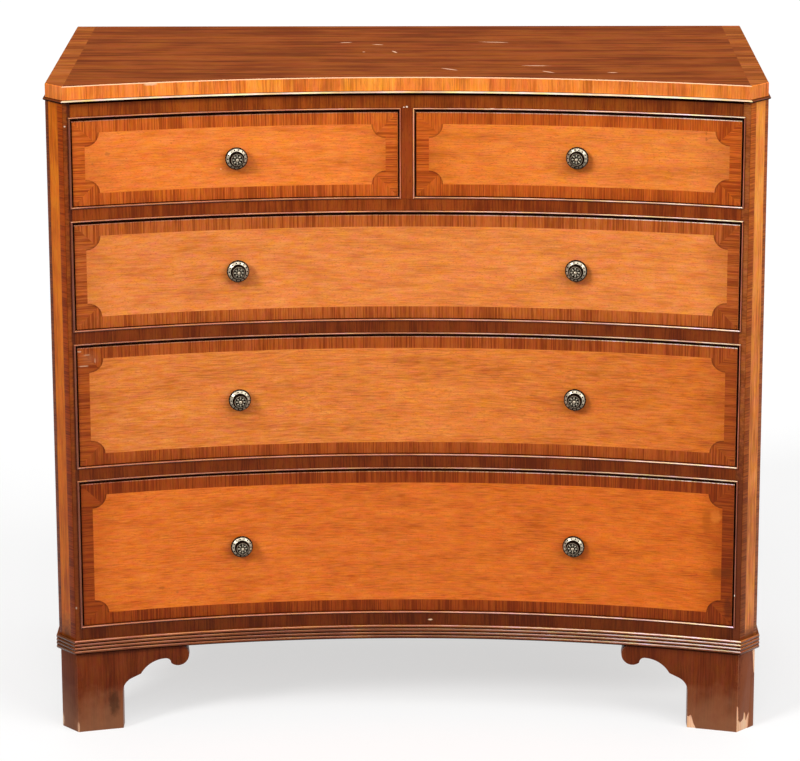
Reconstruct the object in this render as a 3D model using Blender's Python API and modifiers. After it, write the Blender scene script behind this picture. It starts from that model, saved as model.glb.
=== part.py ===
"""Reverse bow front chest of drawers: two short drawers over three long ones, on bracket feet.

The front curves in between canted corners. Every curved piece follows one circle about a vertical
axis in front of the chest, so rails, beads, drawer fronts and mouldings stay parallel.
Units are metres, +X to the chest's right in the picture, +Y to the back, +Z up. The boards are drawn
with y = 0 at the front corners of the top, and an empty moves them so that the origin lies on the
floor under the middle of the whole chest.
"""
import math

import bmesh
import bpy
from mathutils import Euler, Matrix, Vector

# Driving dimensions of the carcass
WIDTH = 0.915                   # across the top and the outsides of the carcass
HEIGHT = 0.8618                 # from the floor to the face of the top
DEPTH = 0.476                   # from the front corners of the top to its back edge
BOW_SAG = 0.0677                # how far the front curves in between its corners
CANT_X = 0.0240                 # canted corner, measured across the chest
CANT_Y = 0.0275                 # canted corner, measured front to back
TOP_THICKNESS = 0.018
TOP_OVERHANG = 0.004            # of the top over the carcass at the front
SIDE_THICKNESS = 0.020
STILE_FACE = 0.009              # front face of the corner stile, from the cant to the drawer opening
RAIL_THICKNESS = 0.0205
RAIL_DEPTH = 0.045
TOP_RAIL_HEIGHT = 0.0211
BOTTOM_RAIL_HEIGHT = 0.0373
BACK_THICKNESS = 0.008
BACK_REBATE = 0.010
TENON_LENGTH = 0.012
TENON_HEIGHT = 0.007
TENON_WIDTH = 0.018

# Heights of the drawer openings from the bottom one up, as shares of the height that the rails leave
OPENING_SHARES = {"bottom": 1957, "third": 1613, "second": 1407, "short": 1134}

# Cockbeads round the openings
COCKBEAD_WIDTH = 0.0028
COCKBEAD_PROUD = 0.0025
COCKBEAD_REBATE = 0.008

# Bead under the top and reeded moulding round the base
TOP_BEAD_HEIGHT = 0.0035
TOP_BEAD_PROUD = 0.003
TOP_BEAD_SEAT = 0.016           # how far the bead's frame reaches in under the top
PLINTH_HEIGHT = 0.019
PLINTH_PROUD = 0.0048
REED_COUNT = 4
REED_RELIEF = 0.0017

# Bracket feet
FOOT_HEIGHT = 0.109
FOOT_THICKNESS = 0.020
FOOT_INSET = 0.001
FOOT_LEFT_LEG = 0.058           # width of the left front leg at the floor, from the canted corner
FOOT_RIGHT_LEG = 0.065          # the same of the right one, which is wider in the photograph
FOOT_SIDE_LEG = 0.044           # width of a leg along the side
FOOT_STEP_HEIGHT = 0.050        # floor to the start of the cove
FOOT_COVE = 0.020               # radius of the cove above the leg
FOOT_COVE_TURN = 67             # degrees that the cove turns
FOOT_SHELF = 0.0128             # straight edge from the cove to the cusp
FOOT_ARCH = 0.0373              # radius of the arch from the cusp to the hook
FOOT_ARCH_TURN = 60             # degrees that the arch turns
FOOT_HOOK = 0.007               # radius of the small hook between the arch and the scroll
FOOT_SCROLL = 0.0138            # radius of the round scroll at the end of the bracket
FOOT_SCROLL_ANGLES = (226, 420)  # degrees round the scroll, from the hook to its outer side
BACK_FOOT_ARM = 0.100           # plain arm of a back foot along the back
BACK_FOOT_LEG = 0.045
BACK_FOOT_LIP = 0.020           # what is left of the arm's height at its end

# Dust frames that carry the drawers
HOUSING = 0.006                 # depth of the grooves in the sides that hold the frames
RUNNER_WIDTH = 0.060
CENTRE_RUNNER_WIDTH = 0.070
PANEL_THICKNESS = 0.006
GUIDE_HEIGHT = 0.012
KICKER_WIDTH = 0.025
KICKER_HEIGHT = 0.016

# Drawers
FRONT_THICKNESS = 0.020
FRONT_RECESS = 0.0015           # drawer fronts behind the face of the rails
FRONT_SIDE_GAP = 0.001
FRONT_TOP_GAP = 0.0016
FRONT_FOOT_GAP = 0.0008
DRAWER_SIDE_THICKNESS = 0.009
DRAWER_SIDE_DROP = 0.002        # top of the drawer sides under the top of the opening
DRAWER_BACK_THICKNESS = 0.009
DRAWER_BACK_DROP = 0.007        # top of the drawer back under the top of the sides
DRAWER_BOTTOM_THICKNESS = 0.006
DRAWER_BOTTOM_RISE = 0.008
DRAWER_REAR_GAP = 0.010         # behind the drawer, to the back panel
SIDE_GROOVE = 0.004
FRONT_GROOVE = 0.006
DOVETAIL_LAP = 0.006            # wood left in front of the tails
DOVETAIL_PITCH = 0.037
DOVETAIL_PIN = 0.008            # narrowest wood between two tails
DOVETAIL_SLOPE = 1 / 6

# Knobs
KNOB_X = 0.2185                 # from the middle of the chest, on the face of the drawer
KNOB_DROP = 0.002               # under the middle of the opening
KNOB_PROJECTION = 0.0205
KNOB_BOSS_RADIUS = 0.003
KNOB_BOSS_RISE = 0.0025         # of the boss in front of the face
KNOB_FACE_RADIUS = 0.0104
KNOB_NECK_RADIUS = 0.0087       # of the groove between the face and the rim
KNOB_RIM_RADIUS = 0.0146
KNOB_RIM_THICKNESS = 0.0042
KNOB_RIM_PLACE = 0.53           # of the projection, from the drawer to the middle of the rim
KNOB_STEM_RADIUS = 0.005
KNOB_BASE_RADIUS = 0.008
KNOB_BASE_HEIGHT = 0.0016
KNOB_EDGE = 0.0012              # bevel of the turned edges
STUD_RADIUS = 0.0025
STUD_TAIL = 0.008               # of the stud inside the drawer

# Fits and resolution
SEAT = 0.0003                   # gap between faces that rest on each other
GUIDE_GAP = 0.0005              # between a drawer side and its guide
REACH = 0.005                   # how far a cutter or a joined piece runs past a face
BOW_STEP = 0.045                # spacing of the sections along the bow
KNOB_STEPS = 12
EMPTY_DISPLAY = 0.05            # drawn size of the empties

# Positions that follow from the driving dimensions
HALF = WIDTH / 2
ARRIS_X = HALF - CANT_X
BOW_RADIUS = (ARRIS_X ** 2 + BOW_SAG ** 2) / (2 * BOW_SAG)
BOW_CENTRE_Y = BOW_SAG - BOW_RADIUS
OPENING_X = ARRIS_X - STILE_FACE
INNER_X = HALF - SIDE_THICKNESS
MUNTIN_X = RAIL_THICKNESS / 2
RAIL_BACK = TOP_OVERHANG + RAIL_DEPTH
FRAME_X = INNER_X + HOUSING - SEAT
PANEL_BACK_Y = DEPTH - BACK_THICKNESS
FRONT_FACE = TOP_OVERHANG + FRONT_RECESS
DRAWER_REAR_Y = PANEL_BACK_Y - DRAWER_REAR_GAP


def bow_y(x, depth):
    """Y of the bow at x, on the curve that lies depth behind the front edge of the top."""
    return BOW_CENTRE_Y + math.sqrt((BOW_RADIUS + depth) ** 2 - x * x)


STILE_BACK_Y = bow_y(FRAME_X, RAIL_BACK) - SEAT


def stack_openings():
    """Lowest and highest z of each drawer opening, and the top of the carcass."""
    levels = {}
    z = FOOT_HEIGHT + BOTTOM_RAIL_HEIGHT
    top = HEIGHT - TOP_THICKNESS - SEAT - TOP_BEAD_HEIGHT
    rails = RAIL_THICKNESS * (len(OPENING_SHARES) - 1)
    share = (top - TOP_RAIL_HEIGHT - rails - z) / sum(OPENING_SHARES.values())
    for name, part in OPENING_SHARES.items():
        levels[name] = (z, z + part * share)
        z += part * share + RAIL_THICKNESS
    return levels, top


LEVELS, CARCASS_TOP = stack_openings()
TOP_UNDERSIDE = CARCASS_TOP + TOP_BEAD_HEIGHT + SEAT


def stations(x0, x1):
    """Section planes between two ends, on shared multiples of the step so that gaps stay even."""
    first = math.ceil(x0 / BOW_STEP)
    last = math.floor(x1 / BOW_STEP)
    margin = BOW_STEP / 5
    inner = [k * BOW_STEP for k in range(first, last + 1)]
    return [x0, *[x for x in inner if x0 + margin < x < x1 - margin], x1]


def bow_line(x0, x1, depth):
    """Plan points along the bow from x0 to x1."""
    return [(x, bow_y(x, depth)) for x in stations(x0, x1)]


def side_corner_y(inset):
    """Y where the side meets the cant."""
    return CANT_Y + inset


def front_path(inset):
    """Plan points round the chest from the back of its left side to the back of its right side."""
    left = [(-HALF, DEPTH), (-HALF, side_corner_y(inset))]
    right = [(HALF, side_corner_y(inset)), (HALF, DEPTH)]
    return left + bow_line(-ARRIS_X, ARRIS_X, inset) + right


def mitres(path):
    """Outward vector at each point of a plan path, as long as a mitred offset of 1 needs."""
    points = [Vector(p) for p in path]
    normals = []
    for a, b in zip(points, points[1:]):
        run = (b - a).normalized()
        normals.append(Vector((run.y, -run.x)))
    joined = [(m + n) / (1 + m.dot(n)) for m, n in zip(normals, normals[1:])]
    return [normals[0], *joined, normals[-1]]


def front_overhang():
    """How far the bead under the top stands in front of the top's front corners."""
    path = front_path(0.0)
    return max(-(p[1] + TOP_BEAD_PROUD * m.y) for p, m in zip(path, mitres(path)))


SHIFT_Y = (front_overhang() - DEPTH) / 2


def arc(cx, cy, radius, start, end, steps):
    """Points of a circular arc, angles in degrees."""
    angles = [math.radians(start + (end - start) * k / steps) for k in range(steps + 1)]
    return [(cx + radius * math.cos(a), cy + radius * math.sin(a)) for a in angles]


# Scene and finishes

def clear_scene():
    for obj in list(bpy.data.objects):
        bpy.data.objects.remove(obj, do_unlink=True)


def collection(name):
    made = bpy.data.collections.new(name)
    bpy.context.scene.collection.children.link(made)
    return made


def finish(name, colour, roughness, metallic=0.0):
    """A Principled material in linear colour."""
    material = bpy.data.materials.new(name)
    material.use_nodes = True
    shader = material.node_tree.nodes["Principled BSDF"]
    shader.inputs["Base Color"].default_value = (*colour, 1.0)
    shader.inputs["Roughness"].default_value = roughness
    shader.inputs["Metallic"].default_value = metallic
    return material


def empty(name, location, parent=None):
    obj = bpy.data.objects.new(name, None)
    obj.empty_display_size = EMPTY_DISPLAY
    obj.location = location
    obj.parent = parent
    PARTS.objects.link(obj)
    return obj


def add_part(name, mesh, material, parent=None):
    """Places a sub-part drawn in the chest's own coordinates, under the chest or one of its drawers."""
    obj = bpy.data.objects.new(name, mesh)
    obj.parent = parent or CHEST
    if parent:
        obj.matrix_parent_inverse = Matrix.Translation(parent.location).inverted()
    if not mesh.materials:
        mesh.materials.append(material)
    PARTS.objects.link(obj)
    return obj


def add_tool(name, mesh):
    """Places a shape that only cuts or joins another."""
    obj = bpy.data.objects.new(name, mesh)
    obj.parent = CHEST
    obj.hide_render = True
    obj.display_type = "WIRE"
    TOOLS.objects.link(obj)
    return obj


def shape(target, operation, mesh):
    """Cuts or joins a mesh to a part with a Boolean modifier."""
    tool = add_tool(f"{target.name}.{operation.lower()}{len(target.modifiers)}", mesh)
    modifier = target.modifiers.new(operation.title(), "BOOLEAN")
    modifier.operation = operation
    modifier.solver = "EXACT"
    modifier.object = tool


# Mesh makers

def to_mesh(name, bm):
    bmesh.ops.recalc_face_normals(bm, faces=bm.faces)
    mesh = bpy.data.meshes.new(name)
    bm.to_mesh(mesh)
    bm.free()
    return mesh


def loft(name, rings, closed=False):
    """Skins a run of like sections. An open run gets a cap at each end."""
    bm = bmesh.new()
    rows = [[bm.verts.new(p) for p in ring] for ring in rings]
    pairs = list(zip(rows, rows[1:]))
    if closed:
        pairs.append((rows[-1], rows[0]))
    else:
        bm.faces.new(rows[0])
        bm.faces.new(rows[-1])
    for a, b in pairs:
        for k in range(len(a)):
            j = (k + 1) % len(a)
            bm.faces.new((a[k], a[j], b[j], b[k]))
    return to_mesh(name, bm)


PLANES = {
    "XY": lambda a, b, t: (a, b, t),
    "XZ": lambda a, b, t: (a, t, b),
    "YZ": lambda a, b, t: (t, a, b),
}


def prisms(name, outlines, low, high, plane="XY"):
    """Flat outlines in a plane, extruded square to it from low to high."""
    place = PLANES[plane]
    bm = bmesh.new()
    for outline in outlines:
        face = bm.faces.new([bm.verts.new(place(a, b, low)) for a, b in outline])
        made = bmesh.ops.extrude_face_region(bm, geom=[face])
        moved = [v for v in made["geom"] if isinstance(v, bmesh.types.BMVert)]
        bmesh.ops.translate(bm, verts=moved, vec=Vector(place(0.0, 0.0, high - low)))
    return to_mesh(name, bm)


def slab(name, outline, z0, z1):
    return prisms(name, [outline], z0, z1)


def box(name, low, high):
    bm = bmesh.new()
    bmesh.ops.create_cube(bm, size=1.0)
    size = [b - a for a, b in zip(low, high)]
    middle = [(a + b) / 2 for a, b in zip(low, high)]
    bmesh.ops.scale(bm, vec=size, verts=bm.verts)
    bmesh.ops.translate(bm, vec=middle, verts=bm.verts)
    return to_mesh(name, bm)


def bow_strip(name, x0, x1, section):
    """A strip along the bow: section points are (depth behind the top's edge, z), ends square across."""
    return loft(name, [[(x, bow_y(x, d), z) for d, z in section] for x in stations(x0, x1)])


def swept(name, path, section):
    """A moulding along a plan path with mitred corners: section points are (out from the path, z)."""
    rings = []
    for point, mitre in zip(path, mitres(path)):
        rings.append([(point[0] + mitre.x * out, point[1] + mitre.y * out, z) for out, z in section])
    return loft(name, rings)


def handed(mesh, hand):
    """A mesh drawn for the right of the chest, mirrored for the left if hand is negative."""
    if hand < 0:
        mesh.transform(Matrix.Scale(-1, 4, Vector((1, 0, 0))))
        mesh.flip_normals()
    return mesh


# Carcass

def build_top():
    board = slab("top_board", front_path(0.0), TOP_UNDERSIDE, TOP_UNDERSIDE + TOP_THICKNESS)
    add_part("top_board", board, WOOD_DARK)


def build_top_bead():
    """A thin frame between the carcass and the top, whose rounded edge shows as a bead."""
    z0 = CARCASS_TOP + SEAT
    z1 = CARCASS_TOP + TOP_BEAD_HEIGHT
    nose = arc(0.0, (z0 + z1) / 2, (z1 - z0) / 2, -90, 90, 4)
    section = [(TOP_BEAD_PROUD - (z1 - z0) / 2 + out, z) for out, z in nose]
    section += [(-TOP_BEAD_SEAT, z1), (-TOP_BEAD_SEAT, z0)]
    bead = add_part("top_bead_moulding", swept("top_bead_moulding", front_path(0.0), section), WOOD_LIGHT)
    arm = HALF - TOP_BEAD_SEAT / 2
    shape(bead, "UNION", box("back_strip", (-arm, DEPTH - TOP_BEAD_SEAT, z0), (arm, DEPTH, z1)))


def frame_levels():
    """Lowest and highest z of each frame that carries drawers: the bottom one and the three dust frames."""
    return {name: (low - RAIL_THICKNESS, low) for name, (low, _) in LEVELS.items()}


def build_sides():
    """Side panels with a rebate for the back, housings for the frames and a kicker over the top drawer."""
    inner_back = PANEL_BACK_Y - SEAT
    rebate_x = INNER_X + BACK_REBATE
    y0 = STILE_BACK_Y + SEAT
    outline = [(INNER_X, y0), (HALF, y0), (HALF, DEPTH), (rebate_x, DEPTH)]
    outline += [(rebate_x, inner_back), (INNER_X, inner_back)]
    kicker_x = INNER_X - KICKER_WIDTH
    kicker_z = LEVELS["short"][1] + SEAT
    kicker_low = (kicker_x, bow_y(kicker_x, RAIL_BACK) + SEAT, kicker_z)
    kicker_high = (INNER_X + REACH, inner_back - REACH, kicker_z + KICKER_HEIGHT)
    for name, hand in (("left_side", -1), ("right_side", 1)):
        side = add_part(name, handed(slab(name, outline, FOOT_HEIGHT, CARCASS_TOP), hand), WOOD_DARK)
        shape(side, "UNION", handed(box("kicker", kicker_low, kicker_high), hand))
        for z0, z1 in frame_levels().values():
            low = (INNER_X - REACH, y0 - REACH, z0 - SEAT)
            high = (INNER_X + HOUSING, DEPTH, z1 + SEAT)
            shape(side, "DIFFERENCE", handed(box("housing", low, high), hand))


def build_back():
    half = INNER_X + BACK_REBATE - SEAT
    panel = box("back_panel", (-half, PANEL_BACK_Y, FOOT_HEIGHT), (half, DEPTH, CARCASS_TOP))
    add_part("back_panel", panel, WOOD_PLAIN)


def tenon_box(z0, z1, grow):
    """The tenon on the right end of a rail, or with a positive grow its mortise."""
    middle_z = (z0 + z1) / 2
    middle_y = (bow_y(OPENING_X, TOP_OVERHANG) + STILE_BACK_Y) / 2
    half_y = TENON_WIDTH / 2 + grow
    half_z = TENON_HEIGHT / 2 + grow
    low = (OPENING_X - REACH, middle_y - half_y, middle_z - half_z)
    high = (OPENING_X + TENON_LENGTH + grow, middle_y + half_y, middle_z + half_z)
    return low, high


def rail_levels():
    """Lowest and highest z of each rail across the front."""
    names = list(LEVELS)
    rails = {"bottom_rail": (FOOT_HEIGHT, LEVELS["bottom"][0])}
    for rail, below, above in zip(("lower_rail", "middle_rail", "upper_rail"), names, names[1:]):
        rails[rail] = (LEVELS[below][1], LEVELS[above][0])
    rails["top_rail"] = (LEVELS["short"][1], CARCASS_TOP)
    return rails


def build_stiles():
    """Canted corner posts, rebated for the cockbeads and mortised for the rails."""
    arris_y = bow_y(ARRIS_X, TOP_OVERHANG)
    opening_y = bow_y(OPENING_X, TOP_OVERHANG)
    rebate_y = bow_y(OPENING_X, TOP_OVERHANG + COCKBEAD_REBATE)
    outline = [(HALF, side_corner_y(TOP_OVERHANG)), (ARRIS_X, arris_y), (OPENING_X, opening_y)]
    outline += [(OPENING_X, STILE_BACK_Y), (HALF, STILE_BACK_Y)]
    for name, hand in (("left_corner_stile", -1), ("right_corner_stile", 1)):
        stile = add_part(name, handed(slab(name, outline, FOOT_HEIGHT, CARCASS_TOP), hand), WOOD_DARK)
        for z0, z1 in LEVELS.values():
            low = (OPENING_X - REACH, arris_y - REACH, z0 - COCKBEAD_WIDTH)
            high = (OPENING_X + COCKBEAD_WIDTH, rebate_y, z1 + COCKBEAD_WIDTH)
            shape(stile, "DIFFERENCE", handed(box("rebate", low, high), hand))
        for z0, z1 in rail_levels().values():
            shape(stile, "DIFFERENCE", handed(box("mortise", *tenon_box(z0, z1, SEAT)), hand))


def rail_section(z0, z1, bead_below, bead_above):
    """Cross section of a rail: its front edge is set back where a cockbead is let in."""
    lip_low = z0 + COCKBEAD_WIDTH if bead_below else z0
    lip_high = z1 - COCKBEAD_WIDTH if bead_above else z1
    face = TOP_OVERHANG
    seat = TOP_OVERHANG + COCKBEAD_REBATE
    section = [(face, lip_low), (face, lip_high)]
    if bead_above:
        section.append((seat, lip_high))
    section += [(seat, z1), (RAIL_BACK, z1), (RAIL_BACK, z0), (seat, z0)]
    if bead_below:
        section.append((seat, lip_low))
    return section


def build_rails():
    end = OPENING_X - SEAT
    for name, (z0, z1) in rail_levels().items():
        section = rail_section(z0, z1, name != "bottom_rail", name != "top_rail")
        rail = add_part(name, bow_strip(name, -end, end, section), WOOD_DARK)
        for hand in (-1, 1):
            shape(rail, "UNION", handed(box("tenon", *tenon_box(z0, z1, 0.0)), hand))
        if name == "top_rail":
            half = CENTRE_RUNNER_WIDTH / 2
            low = (-half, bow_y(half, RAIL_BACK) - REACH, z0 + SEAT)
            high = (half, PANEL_BACK_Y - SEAT, z0 + KICKER_HEIGHT)
            shape(rail, "UNION", box("centre_kicker", low, high))


def build_muntin():
    """The upright between the short drawers. Its lip fills the rails' rebates above and below."""
    z0, z1 = LEVELS["short"]
    seat = TOP_OVERHANG + COCKBEAD_REBATE
    lip = MUNTIN_X - COCKBEAD_WIDTH
    body = [(seat, z0 + SEAT), (seat, z1 - SEAT), (RAIL_BACK, z1 - SEAT), (RAIL_BACK, z0 + SEAT)]
    low = z0 - COCKBEAD_WIDTH + SEAT
    high = z1 + COCKBEAD_WIDTH - SEAT
    front = [(TOP_OVERHANG, low), (TOP_OVERHANG, high), (seat - SEAT, high), (seat - SEAT, z1 - 2 * SEAT)]
    front += [(seat + REACH, z1 - 2 * SEAT), (seat + REACH, z0 + 2 * SEAT)]
    front += [(seat - SEAT, z0 + 2 * SEAT), (seat - SEAT, low)]
    muntin = add_part("centre_muntin", bow_strip("centre_muntin", -MUNTIN_X, MUNTIN_X, body), WOOD_DARK)
    shape(muntin, "UNION", bow_strip("muntin_lip", -lip, lip, front))


def openings():
    """Clear opening of each drawer: x from and to, z from and to."""
    made = {}
    for name, (z0, z1) in LEVELS.items():
        if name == "short":
            made["short_left"] = (-OPENING_X, -MUNTIN_X, z0, z1)
            made["short_right"] = (MUNTIN_X, OPENING_X, z0, z1)
        else:
            made[name] = (-OPENING_X, OPENING_X, z0, z1)
    return made


def build_cockbeads():
    """A rounded bead let in round each opening, standing proud of the rails."""
    half = (COCKBEAD_WIDTH - SEAT) / 2
    nose = arc(half, half - COCKBEAD_PROUD, half, 180, 360, 3)
    back = COCKBEAD_REBATE - SEAT
    section = [(0.0, back), *nose, (2 * half, back)]
    for name, (x0, x1, z0, z1) in openings().items():
        outer = COCKBEAD_WIDTH - SEAT
        path = [(x, z1 + outer, 0, -1) for x in stations(x0, x1)[1:-1]]
        path.append((x1 + outer, z1 + outer, -1, -1))
        path.append((x1 + outer, z0 - outer, -1, 1))
        path += [(x, z0 - outer, 0, 1) for x in reversed(stations(x0, x1)[1:-1])]
        path.append((x0 - outer, z0 - outer, 1, 1))
        path.append((x0 - outer, z1 + outer, 1, -1))
        rings = []
        for x, z, across, up in path:
            spots = [(x + across * u, z + up * u, d) for u, d in section]
            rings.append([(px, bow_y(px, TOP_OVERHANG + d), pz) for px, pz, d in spots])
        label = f"{name}_cockbead"
        add_part(label, loft(label, rings, closed=True), WOOD_BEAD)


def build_plinth():
    """Reeded moulding planted round the foot of the carcass on three sides."""
    reed = PLINTH_HEIGHT / REED_COUNT
    section = []
    for k in range(REED_COUNT):
        middle = FOOT_HEIGHT + reed * (k + 0.5)
        for out, up in arc(0.0, 0.0, 1.0, -90, 90, 3):
            point = (PLINTH_PROUD - REED_RELIEF * (1 - out), middle + up * reed / 2)
            if k == 0 or up > -1:
                section.append(point)
    section += [(SEAT, FOOT_HEIGHT + PLINTH_HEIGHT), (SEAT, FOOT_HEIGHT)]
    add_part("plinth_moulding", swept("plinth_moulding", front_path(TOP_OVERHANG), section), WOOD_DARK)


def bracket_profile(leg):
    """Lower edge of a bracket as (distance from its corner, z), and how far the bracket reaches.

    The edge goes up the leg, round a cove, along a shelf to a cusp, then round an arch and a small hook
    to the round scroll.
    """
    points = [(leg, -REACH)]
    points += arc(leg + FOOT_COVE, FOOT_STEP_HEIGHT, FOOT_COVE, 180, 180 - FOOT_COVE_TURN, 5)
    slope = math.radians(90 - FOOT_COVE_TURN)
    cusp_x = points[-1][0] + FOOT_SHELF * math.cos(slope)
    cusp_z = points[-1][1] + FOOT_SHELF * math.sin(slope)
    turn = math.radians(FOOT_ARCH_TURN)
    arch_x = cusp_x + FOOT_ARCH * math.sin(turn)
    arch_z = cusp_z - FOOT_ARCH * math.cos(turn)
    points += arc(arch_x, arch_z, FOOT_ARCH, 90 + FOOT_ARCH_TURN, 90, 5)
    points += arc(arch_x, points[-1][1] - FOOT_HOOK, FOOT_HOOK, 90, 0, 3)[1:]
    corner = math.radians(FOOT_SCROLL_ANGLES[0])
    scroll_x = points[-1][0] - FOOT_SCROLL * math.cos(corner)
    scroll_z = points[-1][1] - FOOT_SCROLL * math.sin(corner)
    points += arc(scroll_x, scroll_z, FOOT_SCROLL, *FOOT_SCROLL_ANGLES, 9)[1:]
    return points, scroll_x + FOOT_SCROLL


def bracket_cutter(leg):
    """Outline of the wood taken away under a bracket, and the bracket's reach from its corner."""
    points, reach = bracket_profile(leg)
    top = FOOT_HEIGHT + REACH
    outside = reach + REACH
    return points + [(points[-1][0], top), (outside, top), (outside, -REACH)], reach


def build_front_feet():
    section = [(-FOOT_INSET, 0.0), (-FOOT_INSET, FOOT_HEIGHT - SEAT)]
    section += [(-FOOT_INSET - FOOT_THICKNESS, FOOT_HEIGHT - SEAT), (-FOOT_INSET - FOOT_THICKNESS, 0.0)]
    corner_y = side_corner_y(TOP_OVERHANG)
    side_cut, side_reach = bracket_cutter(FOOT_SIDE_LEG)
    y_end = corner_y + side_reach + REACH / 2
    inner_x = HALF - FOOT_INSET - FOOT_THICKNESS - REACH
    side_outline = [(corner_y + v, z) for v, z in side_cut]
    for name, hand, leg in (("front_left_foot", -1, FOOT_LEFT_LEG), ("front_right_foot", 1, FOOT_RIGHT_LEG)):
        front_cut, front_reach = bracket_cutter(leg)
        front_outline = [(ARRIS_X - u, z) for u, z in front_cut]
        x_end = ARRIS_X - front_reach - REACH / 2
        back_y = bow_y(x_end, TOP_OVERHANG) + FOOT_THICKNESS + FOOT_INSET + REACH
        path = bow_line(x_end, ARRIS_X, TOP_OVERHANG) + [(HALF, corner_y), (HALF, y_end)]
        foot = add_part(name, handed(swept(name, path, section), hand), WOOD_DARK)
        bracket = prisms("front_bracket", [front_outline], -REACH, back_y, "XZ")
        shape(foot, "DIFFERENCE", handed(bracket, hand))
        bracket = prisms("side_bracket", [side_outline], inner_x, HALF + REACH, "YZ")
        shape(foot, "DIFFERENCE", handed(bracket, hand))


def build_back_feet():
    section = [(-FOOT_INSET, 0.0), (-FOOT_INSET, FOOT_HEIGHT - SEAT)]
    section += [(-FOOT_INSET - FOOT_THICKNESS, FOOT_HEIGHT - SEAT), (-FOOT_INSET - FOOT_THICKNESS, 0.0)]
    side_cut, side_reach = bracket_cutter(FOOT_SIDE_LEG)
    y_end = DEPTH - side_reach - REACH / 2
    lip_z = FOOT_HEIGHT - BACK_FOOT_LIP
    arm_cut = [(BACK_FOOT_LEG, -REACH), (BACK_FOOT_LEG, lip_z / 2), (BACK_FOOT_ARM, lip_z),
               (BACK_FOOT_ARM + REACH, lip_z), (BACK_FOOT_ARM + REACH, -REACH)]
    path = [(HALF, y_end), (HALF, DEPTH), (HALF - BACK_FOOT_ARM, DEPTH)]
    inner_x = HALF - FOOT_INSET - FOOT_THICKNESS - REACH
    inner_y = DEPTH - FOOT_INSET - FOOT_THICKNESS - REACH
    side_outline = [(DEPTH - v, z) for v, z in side_cut]
    arm_outline = [(HALF - u, z) for u, z in arm_cut]
    for name, hand in (("back_left_foot", -1), ("back_right_foot", 1)):
        foot = add_part(name, handed(swept(name, path, section), hand), WOOD_DARK)
        bracket = prisms("bracket", [side_outline], inner_x, HALF + REACH, "YZ")
        shape(foot, "DIFFERENCE", handed(bracket, hand))
        arm = prisms("arm", [arm_outline], inner_y, DEPTH + REACH, "XZ")
        shape(foot, "DIFFERENCE", handed(arm, hand))


def build_frames():
    """Frames housed in the sides: runners at the ends, a thin panel between, guides beside the drawers."""
    names = ("bottom_board", "lower_dustboard", "middle_dustboard", "upper_dustboard")
    rear = PANEL_BACK_Y - SEAT
    plan = bow_line(-FRAME_X, FRAME_X, RAIL_BACK + SEAT) + [(FRAME_X, rear), (-FRAME_X, rear)]
    edge = FRAME_X - RUNNER_WIDTH
    middle = CENTRE_RUNNER_WIDTH / 2
    for name, (level, (z0, z1)) in zip(names, frame_levels().items()):
        frame = add_part(name, slab(name, plan, z0, z1), WOOD_PLAIN)
        pockets = [(-edge, -middle), (middle, edge)] if level == "short" else [(-edge, edge)]
        skin = (z1 - z0 - PANEL_THICKNESS) / 2
        for x0, x1 in pockets:
            for low, high in ((z0 - REACH, z0 + skin), (z1 - skin, z1 + REACH)):
                shape(frame, "DIFFERENCE", box("pocket", (x0, 0.0, low), (x1, DEPTH, high)))
        y0 = bow_y(OPENING_X, RAIL_BACK) + REACH
        guides = [(-INNER_X + SEAT, -OPENING_X + GUIDE_GAP, y0), (OPENING_X - GUIDE_GAP, INNER_X - SEAT, y0)]
        if level == "short":
            guides.append((-MUNTIN_X + GUIDE_GAP, MUNTIN_X - GUIDE_GAP, bow_y(0.0, RAIL_BACK) + REACH))
        for x0, x1, start in guides:
            guide = box("guide", (x0, start, z1 - skin / 2), (x1, rear - REACH, z1 + GUIDE_HEIGHT))
            shape(frame, "UNION", guide)


# Drawers

def tail_count(height):
    return max(2, round(height / DOVETAIL_PITCH))


def tails(root_y, tip_y, z0, z1, grow=0.0):
    """Dovetails between two heights: four corners each, root low, tip low, tip high, root high."""
    length = abs(tip_y - root_y)
    flare = DOVETAIL_SLOPE * length
    count = tail_count(z1 - z0)
    pitch = (z1 - z0) / count
    tip_half = (pitch - DOVETAIL_PIN) / 2 + grow
    root_half = tip_half - flare
    outlines = []
    for k in range(count):
        z = z0 + pitch * (k + 0.5)
        low = [(root_y, z - root_half), (tip_y, z - tip_half)]
        outlines.append(low + [(tip_y, z + tip_half), (root_y, z + root_half)])
    return outlines


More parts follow.
